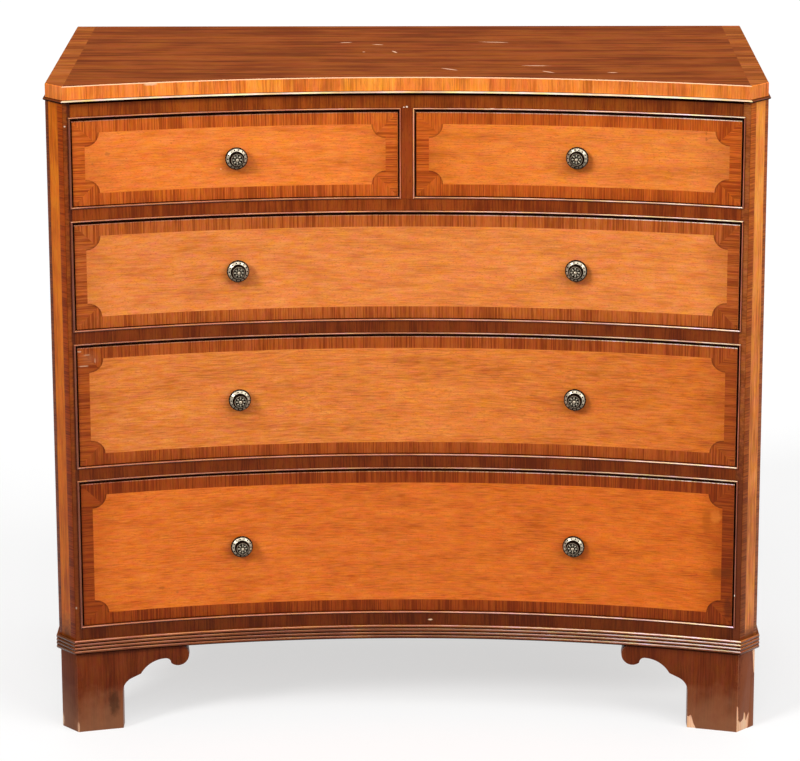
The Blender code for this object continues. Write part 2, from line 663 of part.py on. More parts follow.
class Drawer:
    """Sizes of one drawer, worked out from its opening."""

    def __init__(self, x0, x1, z0, z1):
        self.x0 = x0 + FRONT_SIDE_GAP
        self.x1 = x1 - FRONT_SIDE_GAP
        self.front_z = (z0 + FRONT_FOOT_GAP, z1 - FRONT_TOP_GAP)
        self.side_z = (z0 + SEAT, z1 - DRAWER_SIDE_DROP)
        self.floor = z0 + DRAWER_BOTTOM_RISE
        self.back_z = (self.floor + DRAWER_BOTTOM_THICKNESS + SEAT, self.side_z[1] - DRAWER_BACK_DROP)
        self.knob_z = (z0 + z1) / 2 - KNOB_DROP
        self.inner_depth = FRONT_FACE + FRONT_THICKNESS
        self.land = DRAWER_SIDE_THICKNESS + SEAT
        self.back_root = DRAWER_REAR_Y - DRAWER_BACK_THICKNESS

    def ends(self):
        """The two ends: outer x and the direction towards the middle of the drawer."""
        return {"left": (self.x0, 1), "right": (self.x1, -1)}

    def shoulder(self, x, inward):
        """Y of the flat seat that is cut on the back of the front for a drawer side."""
        curve = min(bow_y(x, self.inner_depth), bow_y(x + inward * self.land, self.inner_depth))
        return curve - 2 * SEAT

    def front_tails(self, x, inward, grow=0.0):
        root = self.shoulder(x, inward)
        tip = root - (FRONT_THICKNESS - DOVETAIL_LAP)
        return tails(root + grow, tip - grow, *self.front_z, grow)

    def rear_tails(self, grow=0.0):
        return tails(self.back_root - grow, DRAWER_REAR_Y + grow, *self.back_z, grow)

    def bottom_outline(self, grow=0.0):
        edge = DRAWER_SIDE_THICKNESS - SIDE_GROOVE + SEAT - grow
        left = self.x0 + edge
        right = self.x1 - edge
        front = bow_line(left, right, self.inner_depth - FRONT_GROOVE + SEAT - grow)
        return front + [(right, DRAWER_REAR_Y + grow), (left, DRAWER_REAR_Y + grow)]

    def groove(self):
        """The room that the bottom takes up in the front and the sides."""
        low = self.floor - SEAT
        return slab("groove", self.bottom_outline(SEAT), low, low + DRAWER_BOTTOM_THICKNESS + 2 * SEAT)


def radial_turn(x, depth):
    """Rotation that points an object's Z axis straight out of the bow at x."""
    return (math.pi / 2, 0.0, -math.asin(x / (BOW_RADIUS + depth)))


def knob_seats(drawer):
    """Where the axes of the drawer's knobs meet its face."""
    xs = [x for x in (-KNOB_X, KNOB_X) if drawer.x0 < x < drawer.x1]
    return [Vector((x, bow_y(x, FRONT_FACE), drawer.knob_z)) for x in xs]


def stud_hole(seat):
    """Cutter for the stud of a knob, through the front."""
    bm = bmesh.new()
    length = FRONT_THICKNESS + 4 * REACH
    radius = STUD_RADIUS + SEAT
    bmesh.ops.create_cone(bm, cap_ends=True, segments=12, radius1=radius, radius2=radius, depth=length)
    mesh = to_mesh("stud_hole", bm)
    mesh.transform(Matrix.LocRotScale(seat, Euler(radial_turn(seat.x, FRONT_FACE)), None))
    return mesh


def build_drawer_front(name, drawer, parent):
    """A bowed board with lapped dovetail sockets, a groove for the bottom and holes for the studs."""
    inner = bow_line(drawer.x0 + drawer.land, drawer.x1 - drawer.land, drawer.inner_depth)
    left = drawer.shoulder(*drawer.ends()["left"])
    right = drawer.shoulder(*drawer.ends()["right"])
    outline = bow_line(drawer.x0, drawer.x1, FRONT_FACE)
    outline += [(drawer.x1, right), (drawer.x1 - drawer.land, right), *reversed(inner)]
    outline += [(drawer.x0 + drawer.land, left), (drawer.x0, left)]
    label = f"{name}_drawer_front"
    front = add_part(label, slab(label, outline, *drawer.front_z), WOOD_LIGHT, parent)
    for x, inward in drawer.ends().values():
        span = sorted((x - inward * REACH, x + inward * drawer.land))
        shape(front, "DIFFERENCE", prisms("sockets", drawer.front_tails(x, inward, SEAT), *span, "YZ"))
    shape(front, "DIFFERENCE", drawer.groove())
    for seat in knob_seats(drawer):
        shape(front, "DIFFERENCE", stud_hole(seat))


def build_drawer_side(name, drawer, parent, hand):
    """A plain board with lapped dovetails at the front, through dovetails at the back and a groove."""
    x, inward = drawer.ends()[hand]
    z0, z1 = drawer.side_z
    shoulder = drawer.shoulder(x, inward) + SEAT
    rear = DRAWER_REAR_Y
    socket = drawer.back_root - SEAT
    back_low = drawer.back_z[0] - SEAT
    back_high = drawer.back_z[1] + SEAT
    outline = [(shoulder, z0), (rear, z0), (rear, back_low), (socket, back_low)]
    for tail in drawer.rear_tails():
        outline += [(socket, tail[0][1]), *tail[1:3], (socket, tail[3][1])]
    outline += [(socket, back_high), (rear, back_high), (rear, z1), (shoulder, z1)]
    for tail in reversed(drawer.front_tails(x, inward)):
        outline += [(shoulder, tail[3][1]), tail[2], tail[1], (shoulder, tail[0][1])]
    label = f"{name}_drawer_{hand}_side"
    span = sorted((x, x + inward * DRAWER_SIDE_THICKNESS))
    side = add_part(label, prisms(label, [outline], *span, "YZ"), WOOD_PLAIN, parent)
    shape(side, "DIFFERENCE", drawer.groove())


def build_drawer_back(name, drawer, parent):
    label = f"{name}_drawer_back"
    low = (drawer.x0, drawer.back_root, drawer.back_z[0])
    high = (drawer.x1, DRAWER_REAR_Y, drawer.back_z[1])
    back = add_part(label, box(label, low, high), WOOD_PLAIN, parent)
    for x, inward in drawer.ends().values():
        span = sorted((x - inward * REACH, x + inward * drawer.land))
        shape(back, "DIFFERENCE", prisms("sockets", drawer.rear_tails(SEAT), *span, "YZ"))


def build_drawer_bottom(name, drawer, parent):
    label = f"{name}_drawer_bottom"
    mesh = slab(label, drawer.bottom_outline(), drawer.floor, drawer.floor + DRAWER_BOTTOM_THICKNESS)
    add_part(label, mesh, WOOD_PLAIN, parent)


def knob_profile():
    """Half section of a knob from its tip to the end of its stud, as (radius, height off the drawer)."""
    face = KNOB_PROJECTION - KNOB_BOSS_RISE
    rim = KNOB_PROJECTION * KNOB_RIM_PLACE
    half = KNOB_RIM_THICKNESS / 2
    soft = KNOB_EDGE / 2
    tail = -FRONT_THICKNESS - STUD_TAIL
    boss = [(0.0, KNOB_PROJECTION), (KNOB_BOSS_RADIUS - soft, KNOB_PROJECTION - soft)]
    boss.append((KNOB_BOSS_RADIUS, face))
    disc = [(KNOB_FACE_RADIUS - KNOB_EDGE, face), (KNOB_FACE_RADIUS, face - KNOB_EDGE)]
    groove = [(KNOB_NECK_RADIUS, rim + half)]
    ring = [(KNOB_RIM_RADIUS - KNOB_EDGE, rim + half), (KNOB_RIM_RADIUS, rim)]
    ring.append((KNOB_RIM_RADIUS - soft, rim - half))
    stem = [(KNOB_STEM_RADIUS + KNOB_EDGE, rim - 2 * half), (KNOB_STEM_RADIUS, KNOB_BASE_HEIGHT + KNOB_EDGE)]
    foot = [(KNOB_BASE_RADIUS, KNOB_BASE_HEIGHT), (KNOB_BASE_RADIUS, SEAT)]
    stud = [(STUD_RADIUS, SEAT), (STUD_RADIUS, tail), (0.0, tail)]
    return boss + disc + groove + ring + stem + foot + stud


def knob_mesh():
    """The open half section, which a Screw modifier turns about Z."""
    mesh = bpy.data.meshes.new("turned_knob")
    points = [(r, 0.0, z) for r, z in knob_profile()]
    mesh.from_pydata(points, [(k, k + 1) for k in range(len(points) - 1)], [])
    mesh.materials.append(BRASS)
    return mesh


def build_knob(label, mesh, seat, parent):
    knob = bpy.data.objects.new(label, mesh)
    knob.parent = parent
    knob.location = seat - parent.location
    knob.rotation_euler = radial_turn(seat.x, FRONT_FACE)
    turned = knob.modifiers.new("Turned", "SCREW")
    turned.steps = KNOB_STEPS
    turned.render_steps = KNOB_STEPS
    turned.use_merge_vertices = True
    turned.merge_threshold = 0.00001
    turned.use_smooth_shade = True
    PARTS.objects.link(knob)


def build_drawers():
    mesh = knob_mesh()
    for name, opening in openings().items():
        drawer = Drawer(*opening)
        middle = (drawer.x0 + drawer.x1) / 2
        slide = empty(f"{name}_drawer_slide", (middle, bow_y(middle, FRONT_FACE), drawer.floor), CHEST)
        build_drawer_front(name, drawer, slide)
        for hand in ("left", "right"):
            build_drawer_side(name, drawer, slide, hand)
        build_drawer_back(name, drawer, slide)
        build_drawer_bottom(name, drawer, slide)
        seats = knob_seats(drawer)
        for seat in seats:
            side = "" if len(seats) == 1 else ("left_" if seat.x < 0 else "right_")
            build_knob(f"{name}_drawer_{side}knob", mesh, seat, slide)


clear_scene()
PARTS = collection("reverse_bow_front_chest")
TOOLS = collection("cutters")
WOOD_DARK = finish("polished mahogany", (0.105, 0.030, 0.010), 0.32)
WOOD_LIGHT = finish("polished satinwood", (0.560, 0.175, 0.030), 0.30)
WOOD_BEAD = finish("polished mahogany bead", (0.200, 0.070, 0.035), 0.28)
WOOD_PLAIN = finish("unpolished pine", (0.480, 0.300, 0.150), 0.70)
BRASS = finish("antique brass", (0.190, 0.150, 0.090), 0.38, 1.0)
CHEST = empty("chest", (0.0, SHIFT_Y, 0.0))

build_top()
build_top_bead()
build_sides()
build_back()
build_stiles()
build_rails()
build_muntin()
build_cockbeads()
build_plinth()
build_front_feet()
build_back_feet()
build_frames()
build_drawers()
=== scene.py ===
"""Dresses the packed reverse bow front chest with veneer, mouldings, feet and brass, on a plain white stage.

Laid out as an add-on: each operator makes one kind of piece, and main() runs them all in order.
Units are metres in the packed model's frame: +X to the right of the picture, +Y to the back, +Z up.
"""
import math
from collections import namedtuple

import bmesh
import bpy
from bpy.props import FloatProperty, FloatVectorProperty, IntProperty, PointerProperty
from mathutils import Euler, Matrix, Vector


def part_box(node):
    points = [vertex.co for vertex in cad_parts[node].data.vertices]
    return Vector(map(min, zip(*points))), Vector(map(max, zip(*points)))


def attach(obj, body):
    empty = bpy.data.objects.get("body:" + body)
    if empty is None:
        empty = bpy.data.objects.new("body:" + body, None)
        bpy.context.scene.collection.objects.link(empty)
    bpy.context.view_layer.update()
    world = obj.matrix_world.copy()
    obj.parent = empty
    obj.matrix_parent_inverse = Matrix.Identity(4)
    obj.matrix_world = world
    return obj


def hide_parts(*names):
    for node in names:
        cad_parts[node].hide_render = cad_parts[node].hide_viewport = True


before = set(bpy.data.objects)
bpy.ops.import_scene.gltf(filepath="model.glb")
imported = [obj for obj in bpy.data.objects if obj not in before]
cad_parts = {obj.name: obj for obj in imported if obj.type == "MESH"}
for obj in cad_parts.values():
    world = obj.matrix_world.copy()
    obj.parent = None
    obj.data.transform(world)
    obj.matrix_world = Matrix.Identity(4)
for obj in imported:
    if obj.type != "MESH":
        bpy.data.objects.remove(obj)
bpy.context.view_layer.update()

bl_info = {
    "name": "Reverse bow front chest",
    "version": (1, 0, 0),
    "blender": (4, 5, 0),
    "location": "View3D > Sidebar > Chest",
    "description": "Veneer, mouldings, feet and brass for the packed chest of drawers",
    "category": "Object",
}

# Where the solids lie, read from their boxes
TOP_LOW, TOP_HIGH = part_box("top_board")
CARCASS_LOW, CARCASS_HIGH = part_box("left_side")
HALF = TOP_HIGH.x
FRONT_Y = TOP_LOW.y
BACK_Y = TOP_HIGH.y
FOOT_TOP = CARCASS_LOW.z
PLINTH_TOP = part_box("plinth_moulding")[1].z
DRAWERS = ("bottom", "third", "second", "short_left", "short_right")

# Sizes of the solids that the boxes don't show
BOW_SAG = 0.0677                # how far the front curves in between its corners
CANT_X = 0.0240                 # canted corner across the chest
CANT_Y = 0.0275                 # canted corner front to back
FACE = 0.0040                   # face of the rails behind the front edge of the top
DRAWER_FACE = 0.0055            # face of the solid drawer fronts, likewise
DRAWER_FRONT = 0.0200           # thickness of the drawer fronts
SEAT = 0.0003                   # gap between pieces
BEAD = 0.0028                   # width of a cockbead with its gap
BEAD_PROUD = 0.0025
BEAD_REBATE = 0.0080
TOP_BEAD_PROUD = 0.0030
PLINTH_PROUD = 0.0045
REED_RELIEF = 0.0017
FOOT_INSET = 0.0010
FOOT_THICKNESS = 0.0200
STILE_FACE = 0.0090
KNOB_X = 0.2185
KNOB_DROP = 0.0020
STUD_RADIUS = 0.0025
STUD_TAIL = 0.0080

ARRIS_X = HALF - CANT_X
OPENING_X = ARRIS_X - STILE_FACE
BOW_RADIUS = (ARRIS_X ** 2 + BOW_SAG ** 2) / (2 * BOW_SAG)
BOW_CENTRE_Y = FRONT_Y + BOW_SAG - BOW_RADIUS
SIDE_CORNER_Y = FRONT_Y + CANT_Y + FACE
STEP = 0.010                    # spacing of sections along the bow


def linear(code):
    """Linear colour from an sRGB hex code."""
    channels = [int(code[k:k + 2], 16) / 255 for k in (0, 2, 4)]
    return [c / 12.92 if c <= 0.04045 else ((c + 0.055) / 1.055) ** 2.4 for c in channels]


def toned(colour, factors):
    """A colour times factors of red, green and blue."""
    return [c * f for c, f in zip(colour, factors)]


# What a user may change

def length(name, description, default, low, high):
    return FloatProperty(name=name, description=description, default=default, min=low, max=high, unit="LENGTH")


def colour(name, description, code):
    return FloatVectorProperty(name=name, description=description, subtype="COLOR", default=linear(code))


def number(name, description, default, low, high):
    return IntProperty(name=name, description=description, default=default, min=low, max=high)


class ChestVeneer(bpy.types.PropertyGroup):
    """Sizes of the veneer and of its wear."""

    thickness: length("Thickness", "Thickness of the sheets of veneer", 0.0005, 0.0002, 0.001)
    corner_radius: length(
        "Corner radius", "Radius of the rounded notch at each corner of a drawer's field", 0.018, 0.005, 0.03)
    top_band: length("Top band", "Width of the bands across the ends of the top", 0.0255, 0.01, 0.08)
    outer_border: length(
        "Outer border", "Dark border of the pale stripe on a canted corner, by the side", 0.0068, 0.001, 0.010)
    inner_border: length(
        "Inner border", "Crossband of a canted corner, by the drawers", 0.0105, 0.001, 0.015)
    arris: length("Worn arris", "Width of the rubbed edges", 0.0005, 0.0001, 0.002)


class ChestColours(bpy.types.PropertyGroup):
    """Colours of the woods and of the brass."""

    satinwood: colour("Satinwood", "Fields of the drawer fronts", "e88240")
    crossband: colour("Crossband", "Bands round the drawer fronts", "ae5520")
    edge: colour("Edge band", "Veneer on the edge of the top and on the canted corners", "ed8132")
    top: colour("Top", "Field of the top", "944614")
    top_band: colour("Top band", "Bands across the ends of the top", "ac5a20")
    mahogany: colour("Mahogany", "Rails, stiles, sides and base moulding", "7c3b14")
    foot: colour("Feet", "Bracket feet", "682a0b")
    bead: colour("Cockbead", "Beads round the drawers", "74361c")
    boxwood: colour("Boxwood", "Bead under the top", "f6dab2")
    # Bare wood, also the colour of the rubbed front arris of the top with its painted highlight
    bare: colour("Bare wood", "Chips and rubbed edges", "ffc59b")
    pine: colour("Pine", "Drawer linings, dust frames and back", "c79a63")
    brass: colour("Brass", "Rubbed brass of the knobs", "c2b6a0")
    patina: colour("Patina", "Brown patina in the hollows of the knobs", "170f09")
    floor: colour("Floor", "Floor of the stage", "f8f8f8")


class ChestKnobs(bpy.types.PropertyGroup):
    """Ornament of the knobs."""

    rim_beads: number("Rim beads", "Beads round the edge of the rim", 24, 8, 80)
    rim_dots: number("Rim dots", "Dark dots round the face of the rim", 14, 8, 80)
    face_beads: number("Face beads", "Beads round the rosette", 36, 8, 80)
    petals: number("Petals", "Petals of the rosette", 8, 3, 16)
    steps: number("Steps", "Facets round the turning", 48, 12, 96)


# Nodes and materials

def node(tree, kind, sockets=None, **settings):
    """Adds a node, with its settings and what goes into its sockets: a value or another node's output."""
    made = tree.nodes.new(kind)
    for key, value in settings.items():
        setattr(made, key, value)
    for key, value in (sockets or {}).items():
        if isinstance(value, bpy.types.NodeSocket):
            tree.links.new(value, made.inputs[key])
        else:
            made.inputs[key].default_value = value
    return made


def blank(name):
    """An empty material with its tree and its Principled shader."""
    material = bpy.data.materials.new(name)
    material.use_nodes = True
    return material, material.node_tree, material.node_tree.nodes["Principled BSDF"]


# Look of a wood. along and across are the size of its streaks, ring that of its broad bands, warp how far they
# wander and curl the size of its mottle along and across, all in metres. The other values are strengths, with
# the roughness of its polish and the level of its shine.
Look = namedtuple(
    "Look", "along across ring warp curl streak band mottle fleck pores rough shine hue", defaults=(1.0,))
SATIN = Look(0.022, 0.0016, 0.018, 0.004, (0.050, 0.018), 1.30, 0.45, 0.50, 0.45, 0.55, 0.34, 0.13)
CROSS = Look(0.090, 0.0015, 0.022, 0.001, (0.060, 0.030), 3.60, 1.50, 0.60, 0.00, 0.60, 0.36, 0.12)
PLAIN = Look(0.060, 0.0020, 0.016, 0.004, (0.060, 0.045), 1.70, 1.10, 1.00, 0.00, 0.40, 0.36, 0.12)
FADED = Look(0.140, 0.0034, 0.015, 0.006, (0.090, 0.060), 4.60, 2.00, 1.80, 0.00, 0.60, 0.50, 0.08)
LINING = Look(0.160, 0.0030, 0.018, 0.010, (0.060, 0.045), 1.00, 1.00, 0.50, 0.00, 0.20, 0.72, 0.12, 0.2)
CALM = SATIN._replace(streak=0.85, mottle=0.40, fleck=0.25)
GLOSSY = PLAIN._replace(rough=0.22, shine=0.50)
RUN = GLOSSY._replace(shine=0.28)
RAIL = PLAIN._replace(streak=2.40, band=1.50, mottle=1.60, pores=0.60)
BOX = PLAIN._replace(streak=0.5, pores=0.1)

WANDER = (9.0, 22.0, 7.0)       # waves in a metre with which streaks wander along, across and through the grain
# Dark, middle and pale wood: place on the ramp of tones and factors of the wood's colour
SHADES = ((0.15, (0.62, 0.52, 0.42)), (0.50, (1.0, 1.0, 1.0)), (0.85, (1.22, 1.34, 1.55)))
HUE_DRIFT = (0.0, 0.75, 2.20)   # how far red, green and blue wander from patch to patch
MOTTLE_IN_FLECK = 0.9           # flecks gather where the mottle is high
FLECK_NOISE = (1.12, 1.26)      # from where no fleck is to where one is full
FLECK_SHADE = (0.66, 0.56, 0.42)
PORE_NOISE = (0.60, 0.74)       # from where no pore is to where one is full
PORE_SHADE = (0.45, 0.34, 0.25)
GLOSS_NOISE = (0.3, 0.7)        # from dark streaks to pale ones
GLOSS_SPREAD = 0.06             # the dark ones are this much rougher than the wood, the pale ones smoother
RELIEF, RELIEF_STRENGTH = 0.0003, 0.12


def wood(name, colour, look, axes=None):
    """A wood whose streaks, pores and drift of tone follow its grain.

    A piece with a grain attribute gives (along, across, seed) in metres. For a solid, axes names the object
    axes that run along, across and through its grain.
    """
    material, tree, shader = blank(name)
    if axes is None:
        place = node(tree, "ShaderNodeAttribute", attribute_name="grain").outputs["Vector"]
    else:
        spot = node(tree, "ShaderNodeSeparateXYZ", {0: node(tree, "ShaderNodeTexCoord").outputs["Object"]})
        order = {k: spot.outputs[axis] for k, axis in enumerate(axes)}
        place = node(tree, "ShaderNodeCombineXYZ", order).outputs[0]
    slow = node(tree, "ShaderNodeVectorMath", {0: place, 1: WANDER}, operation="MULTIPLY")
    sway = node(tree, "ShaderNodeTexNoise", {"Vector": slow.outputs[0], "Scale": 1.0, "Detail": 2.0})
    bend = node(tree, "ShaderNodeMath", {0: sway.outputs[0], 1: look.warp * 2, 2: -look.warp},
                operation="MULTIPLY_ADD")
    shift = node(tree, "ShaderNodeCombineXYZ", {1: bend.outputs[0]})
    bent = node(tree, "ShaderNodeVectorMath", {0: place, 1: shift.outputs[0]}, operation="ADD").outputs[0]
    # Size along and across the grain, detail and roughness of each pattern. Pores, flecks and patches of hue
    # are several times as coarse as real ones, which would be lost at the distance of the picture.
    sizes = {
        "streak": (look.along, look.across, 4.0, 0.62),
        "band": (look.along * 5, look.ring, 2.0, 0.5),
        "mottle": (*look.curl, 2.0, 0.5),
        "pore": (look.along * 0.14, look.across * 0.45, 1.0, 0.5),
        "hue": (look.across * 9.0, look.across * 3.5, 3.0, 0.6),
        "fleck": (look.across * 4.5, look.across * 1.2, 2.0, 0.6),
    }
    fields = {}
    for key, (along, across, detail, rough) in sizes.items():
        scaled = node(tree, "ShaderNodeVectorMath", {0: bent, 1: (1 / along, 1 / across, 1 / across)},
                      operation="MULTIPLY")
        fields[key] = node(tree, "ShaderNodeTexNoise", {
            "Vector": scaled.outputs[0], "Scale": 1.0, "Detail": detail, "Roughness": rough,
        }).outputs["Color" if key == "hue" else "Fac"]
    tone = 0.5 - 0.5 * (look.streak + look.band + look.mottle)
    for key, weight in (("streak", look.streak), ("band", look.band), ("mottle", look.mottle)):
        tone = node(tree, "ShaderNodeMath", {0: fields[key], 1: weight, 2: tone},
                    operation="MULTIPLY_ADD").outputs[0]
    ramp = node(tree, "ShaderNodeValToRGB", {0: tone})
    stops = ramp.color_ramp.elements
    stops[0].position, stops[1].position = SHADES[0][0], SHADES[2][0]
    stops.new(SHADES[1][0])
    for stop, (_, shade) in zip(stops, SHADES):
        stop.color = (*[min(1.0, c) for c in toned(colour, shade)], 1.0)
    paint = ramp.outputs[0]
    specks = []
    if look.fleck:
        gathered = node(tree, "ShaderNodeMath", {0: fields["mottle"], 1: MOTTLE_IN_FLECK, 2: fields["fleck"]},
                        operation="MULTIPLY_ADD").outputs[0]
        specks.append((gathered, FLECK_NOISE, look.fleck, FLECK_SHADE))
    specks.append((fields["pore"], PORE_NOISE, look.pores, PORE_SHADE))
    for noise, (none, full), strength, shade in specks:
        cover = node(tree, "ShaderNodeMapRange", {0: noise, 1: none, 2: full, 3: 0.0, 4: strength}).outputs[0]
        paint = node(tree, "ShaderNodeMix", {0: cover, 6: paint, 7: (*toned(colour, shade), 1.0)},
                     data_type="RGBA").outputs[2]
    # Patches lean to yellow or to red
    lean = [look.hue * d for d in HUE_DRIFT]
    factors = [node(tree, "ShaderNodeVectorMath", {0: fields["hue"], 1: lean, 2: [1 - d / 2 for d in lean]},
                    operation="MULTIPLY_ADD").outputs[0]]
    if axes is None:
        factors.append(node(tree, "ShaderNodeAttribute", attribute_name="shade").outputs["Color"])
    for factor in factors:
        paint = node(tree, "ShaderNodeMix", {0: 1.0, 6: paint, 7: factor}, data_type="RGBA",
                     blend_type="MULTIPLY").outputs[2]
    tree.links.new(paint, shader.inputs["Base Color"])
    gloss = node(tree, "ShaderNodeMapRange", {
        0: fields["streak"], 1: GLOSS_NOISE[0], 2: GLOSS_NOISE[1],
        3: look.rough + GLOSS_SPREAD, 4: look.rough - GLOSS_SPREAD})
    tree.links.new(gloss.outputs[0], shader.inputs["Roughness"])
    relief = node(tree, "ShaderNodeBump", {
        "Height": fields["streak"], "Strength": RELIEF_STRENGTH, "Distance": RELIEF})
    tree.links.new(relief.outputs[0], shader.inputs["Normal"])
    shader.inputs["Specular IOR Level"].default_value = look.shine
    return material


MARK_NOISE = 220.0              # waves in a metre along the edge of a mark
MARK_RAGGED = 0.8               # how far they shift that edge, as a share of the mark's half size
MARK_END = 1.5                  # where a mark ends, with that shift


def mark(target, centre, half, colour, strength=1.0, turn=0.0, soft=0.5):
    """Lays a small ragged patch of another colour on a wood, turned in plan, at a place in metres.

    soft is the share of its half size over which it fades out.
    """
    tree = target.node_tree
    base = tree.nodes["Principled BSDF"].inputs["Base Color"]
    spot = node(tree, "ShaderNodeTexCoord").outputs["Object"]
    local = node(tree, "ShaderNodeMapping", {
        0: spot, 1: centre, 2: (0.0, 0.0, math.radians(turn)), 3: half}, vector_type="TEXTURE").outputs[0]
    reach = node(tree, "ShaderNodeVectorMath", {0: local}, operation="LENGTH").outputs["Value"]
    uneven = node(tree, "ShaderNodeTexNoise", {"Vector": spot, "Scale": MARK_NOISE, "Detail": 2.0}).outputs[0]
    edge = node(tree, "ShaderNodeMath", {0: uneven, 1: MARK_RAGGED, 2: reach},
                operation="MULTIPLY_ADD").outputs[0]
    cover = node(tree, "ShaderNodeMapRange", {
        0: edge, 1: MARK_END, 2: MARK_END - soft, 3: 0.0, 4: strength}).outputs[0]
    paint = node(tree, "ShaderNodeMix", {0: cover, 6: base.links[0].from_socket, 7: (*colour, 1.0)},
                 data_type="RGBA").outputs[2]
    tree.links.new(paint, base)


RUBBED_FOOT = "a87250"
RUB_NOISE = 45.0                # waves in a metre of the rubbed patches
RUB_RAGGED = -0.06              # how far they shift the height of the rubbing, in metres
RUB_HEIGHTS = (0.035, -0.020)   # from where the rubbing starts to where it is full
RUB_COVER = 0.50


def foot_wood(name, colour):
    """The mahogany of the feet, rubbed grey and pale towards the floor."""
    material = wood(name, colour, PLAIN, axes=(2, 0, 1))
    tree = material.node_tree
    shader = tree.nodes["Principled BSDF"]
    paint = shader.inputs["Base Color"].links[0].from_socket
    spot = node(tree, "ShaderNodeTexCoord").outputs["Object"]
    height = node(tree, "ShaderNodeSeparateXYZ", {0: spot}).outputs[2]
    patches = node(tree, "ShaderNodeTexNoise", {"Vector": spot, "Scale": RUB_NOISE, "Detail": 3.0}).outputs[0]
    ragged = node(tree, "ShaderNodeMath", {0: patches, 1: RUB_RAGGED, 2: height},
                  operation="MULTIPLY_ADD").outputs[0]
    rubbed = node(tree, "ShaderNodeMapRange", {
        0: ragged, 1: RUB_HEIGHTS[0], 2: RUB_HEIGHTS[1], 3: 0.0, 4: RUB_COVER}).outputs[0]
    paint = node(tree, "ShaderNodeMix", {0: rubbed, 6: paint, 7: (*linear(RUBBED_FOOT), 1.0)},
                 data_type="RGBA").outputs[2]
    tree.links.new(paint, shader.inputs["Base Color"])
    return material


def plain(name, colour, rough, shine=0.2, metal=0.0):
    """One even colour."""
    material, _, shader = blank(name)
    shader.inputs["Base Color"].default_value = (*colour, 1.0)
    shader.inputs["Roughness"].default_value = rough
    shader.inputs["Metallic"].default_value = metal
    shader.inputs["Specular IOR Level"].default_value = shine
    return material


CLOUD_NOISE = 420.0             # waves in a metre of the clouds of patina
CLOUD_COVER = (0.8, -0.32)      # cover that a cloud adds: its slope and its start
HOLLOW_COVER = 0.85             # cover of a hollow
BRASS_ROUGH = (0.32, 0.62)      # bright and under patina


def old_brass(name, bright, dark):
    """Cast brass, rubbed bright on what stands proud and brown where the patina attribute marks a hollow."""
    material, tree, shader = blank(name)
    spot = node(tree, "ShaderNodeTexCoord").outputs["Object"]
    cloud = node(tree, "ShaderNodeTexNoise", {"Vector": spot, "Scale": CLOUD_NOISE, "Detail": 3.0}).outputs[0]
    hollow = node(tree, "ShaderNodeAttribute", attribute_name="patina").outputs["Fac"]
    depth = node(tree, "ShaderNodeMath", {0: cloud, 1: CLOUD_COVER[0], 2: CLOUD_COVER[1]},
                 operation="MULTIPLY_ADD").outputs[0]
    cover = node(tree, "ShaderNodeMath", {0: hollow, 1: HOLLOW_COVER, 2: depth}, operation="MULTIPLY_ADD",
                 use_clamp=True).outputs[0]
    paint = node(tree, "ShaderNodeMix", {0: cover, 6: (*bright, 1.0), 7: (*dark, 1.0)}, data_type="RGBA")
    rough = node(tree, "ShaderNodeMapRange", {0: cover, 1: 0.0, 2: 1.0, 3: BRASS_ROUGH[0], 4: BRASS_ROUGH[1]})
    tree.links.new(paint.outputs[2], shader.inputs["Base Color"])
    tree.links.new(rough.outputs[0], shader.inputs["Roughness"])
    shader.inputs["Metallic"].default_value = 1.0
    return material


# Finish of the field of each drawer front: the lower ones are livelier
FIGURE = {"bottom": "field", "third": "field", "second": "calm", "short_left": "calm", "short_right": "calm"}
# Scuffs on the top: their colour, half width and depth, then for each its x, distance behind the front edge,
# half length and turn in plan
SCUFF_COLOUR, SCUFF_WIDTH, SCUFF_DEPTH = "f8c4a4", 0.0020, 0.01
SCUFFS = (
    (-0.0830, 0.337, 0.0090, 14), (-0.0395, 0.320, 0.0080, -15), (-0.0580, 0.261, 0.0020, 0),
    (-0.0170, 0.261, 0.0090, -69), (0.1175, 0.338, 0.0200, -9), (0.1670, 0.152, 0.0180, -3),
    (0.1815, 0.105, 0.0120, -43), (0.0550, 0.126, 0.0130, -39), (0.2640, 0.0995, 0.0065, -5),
)
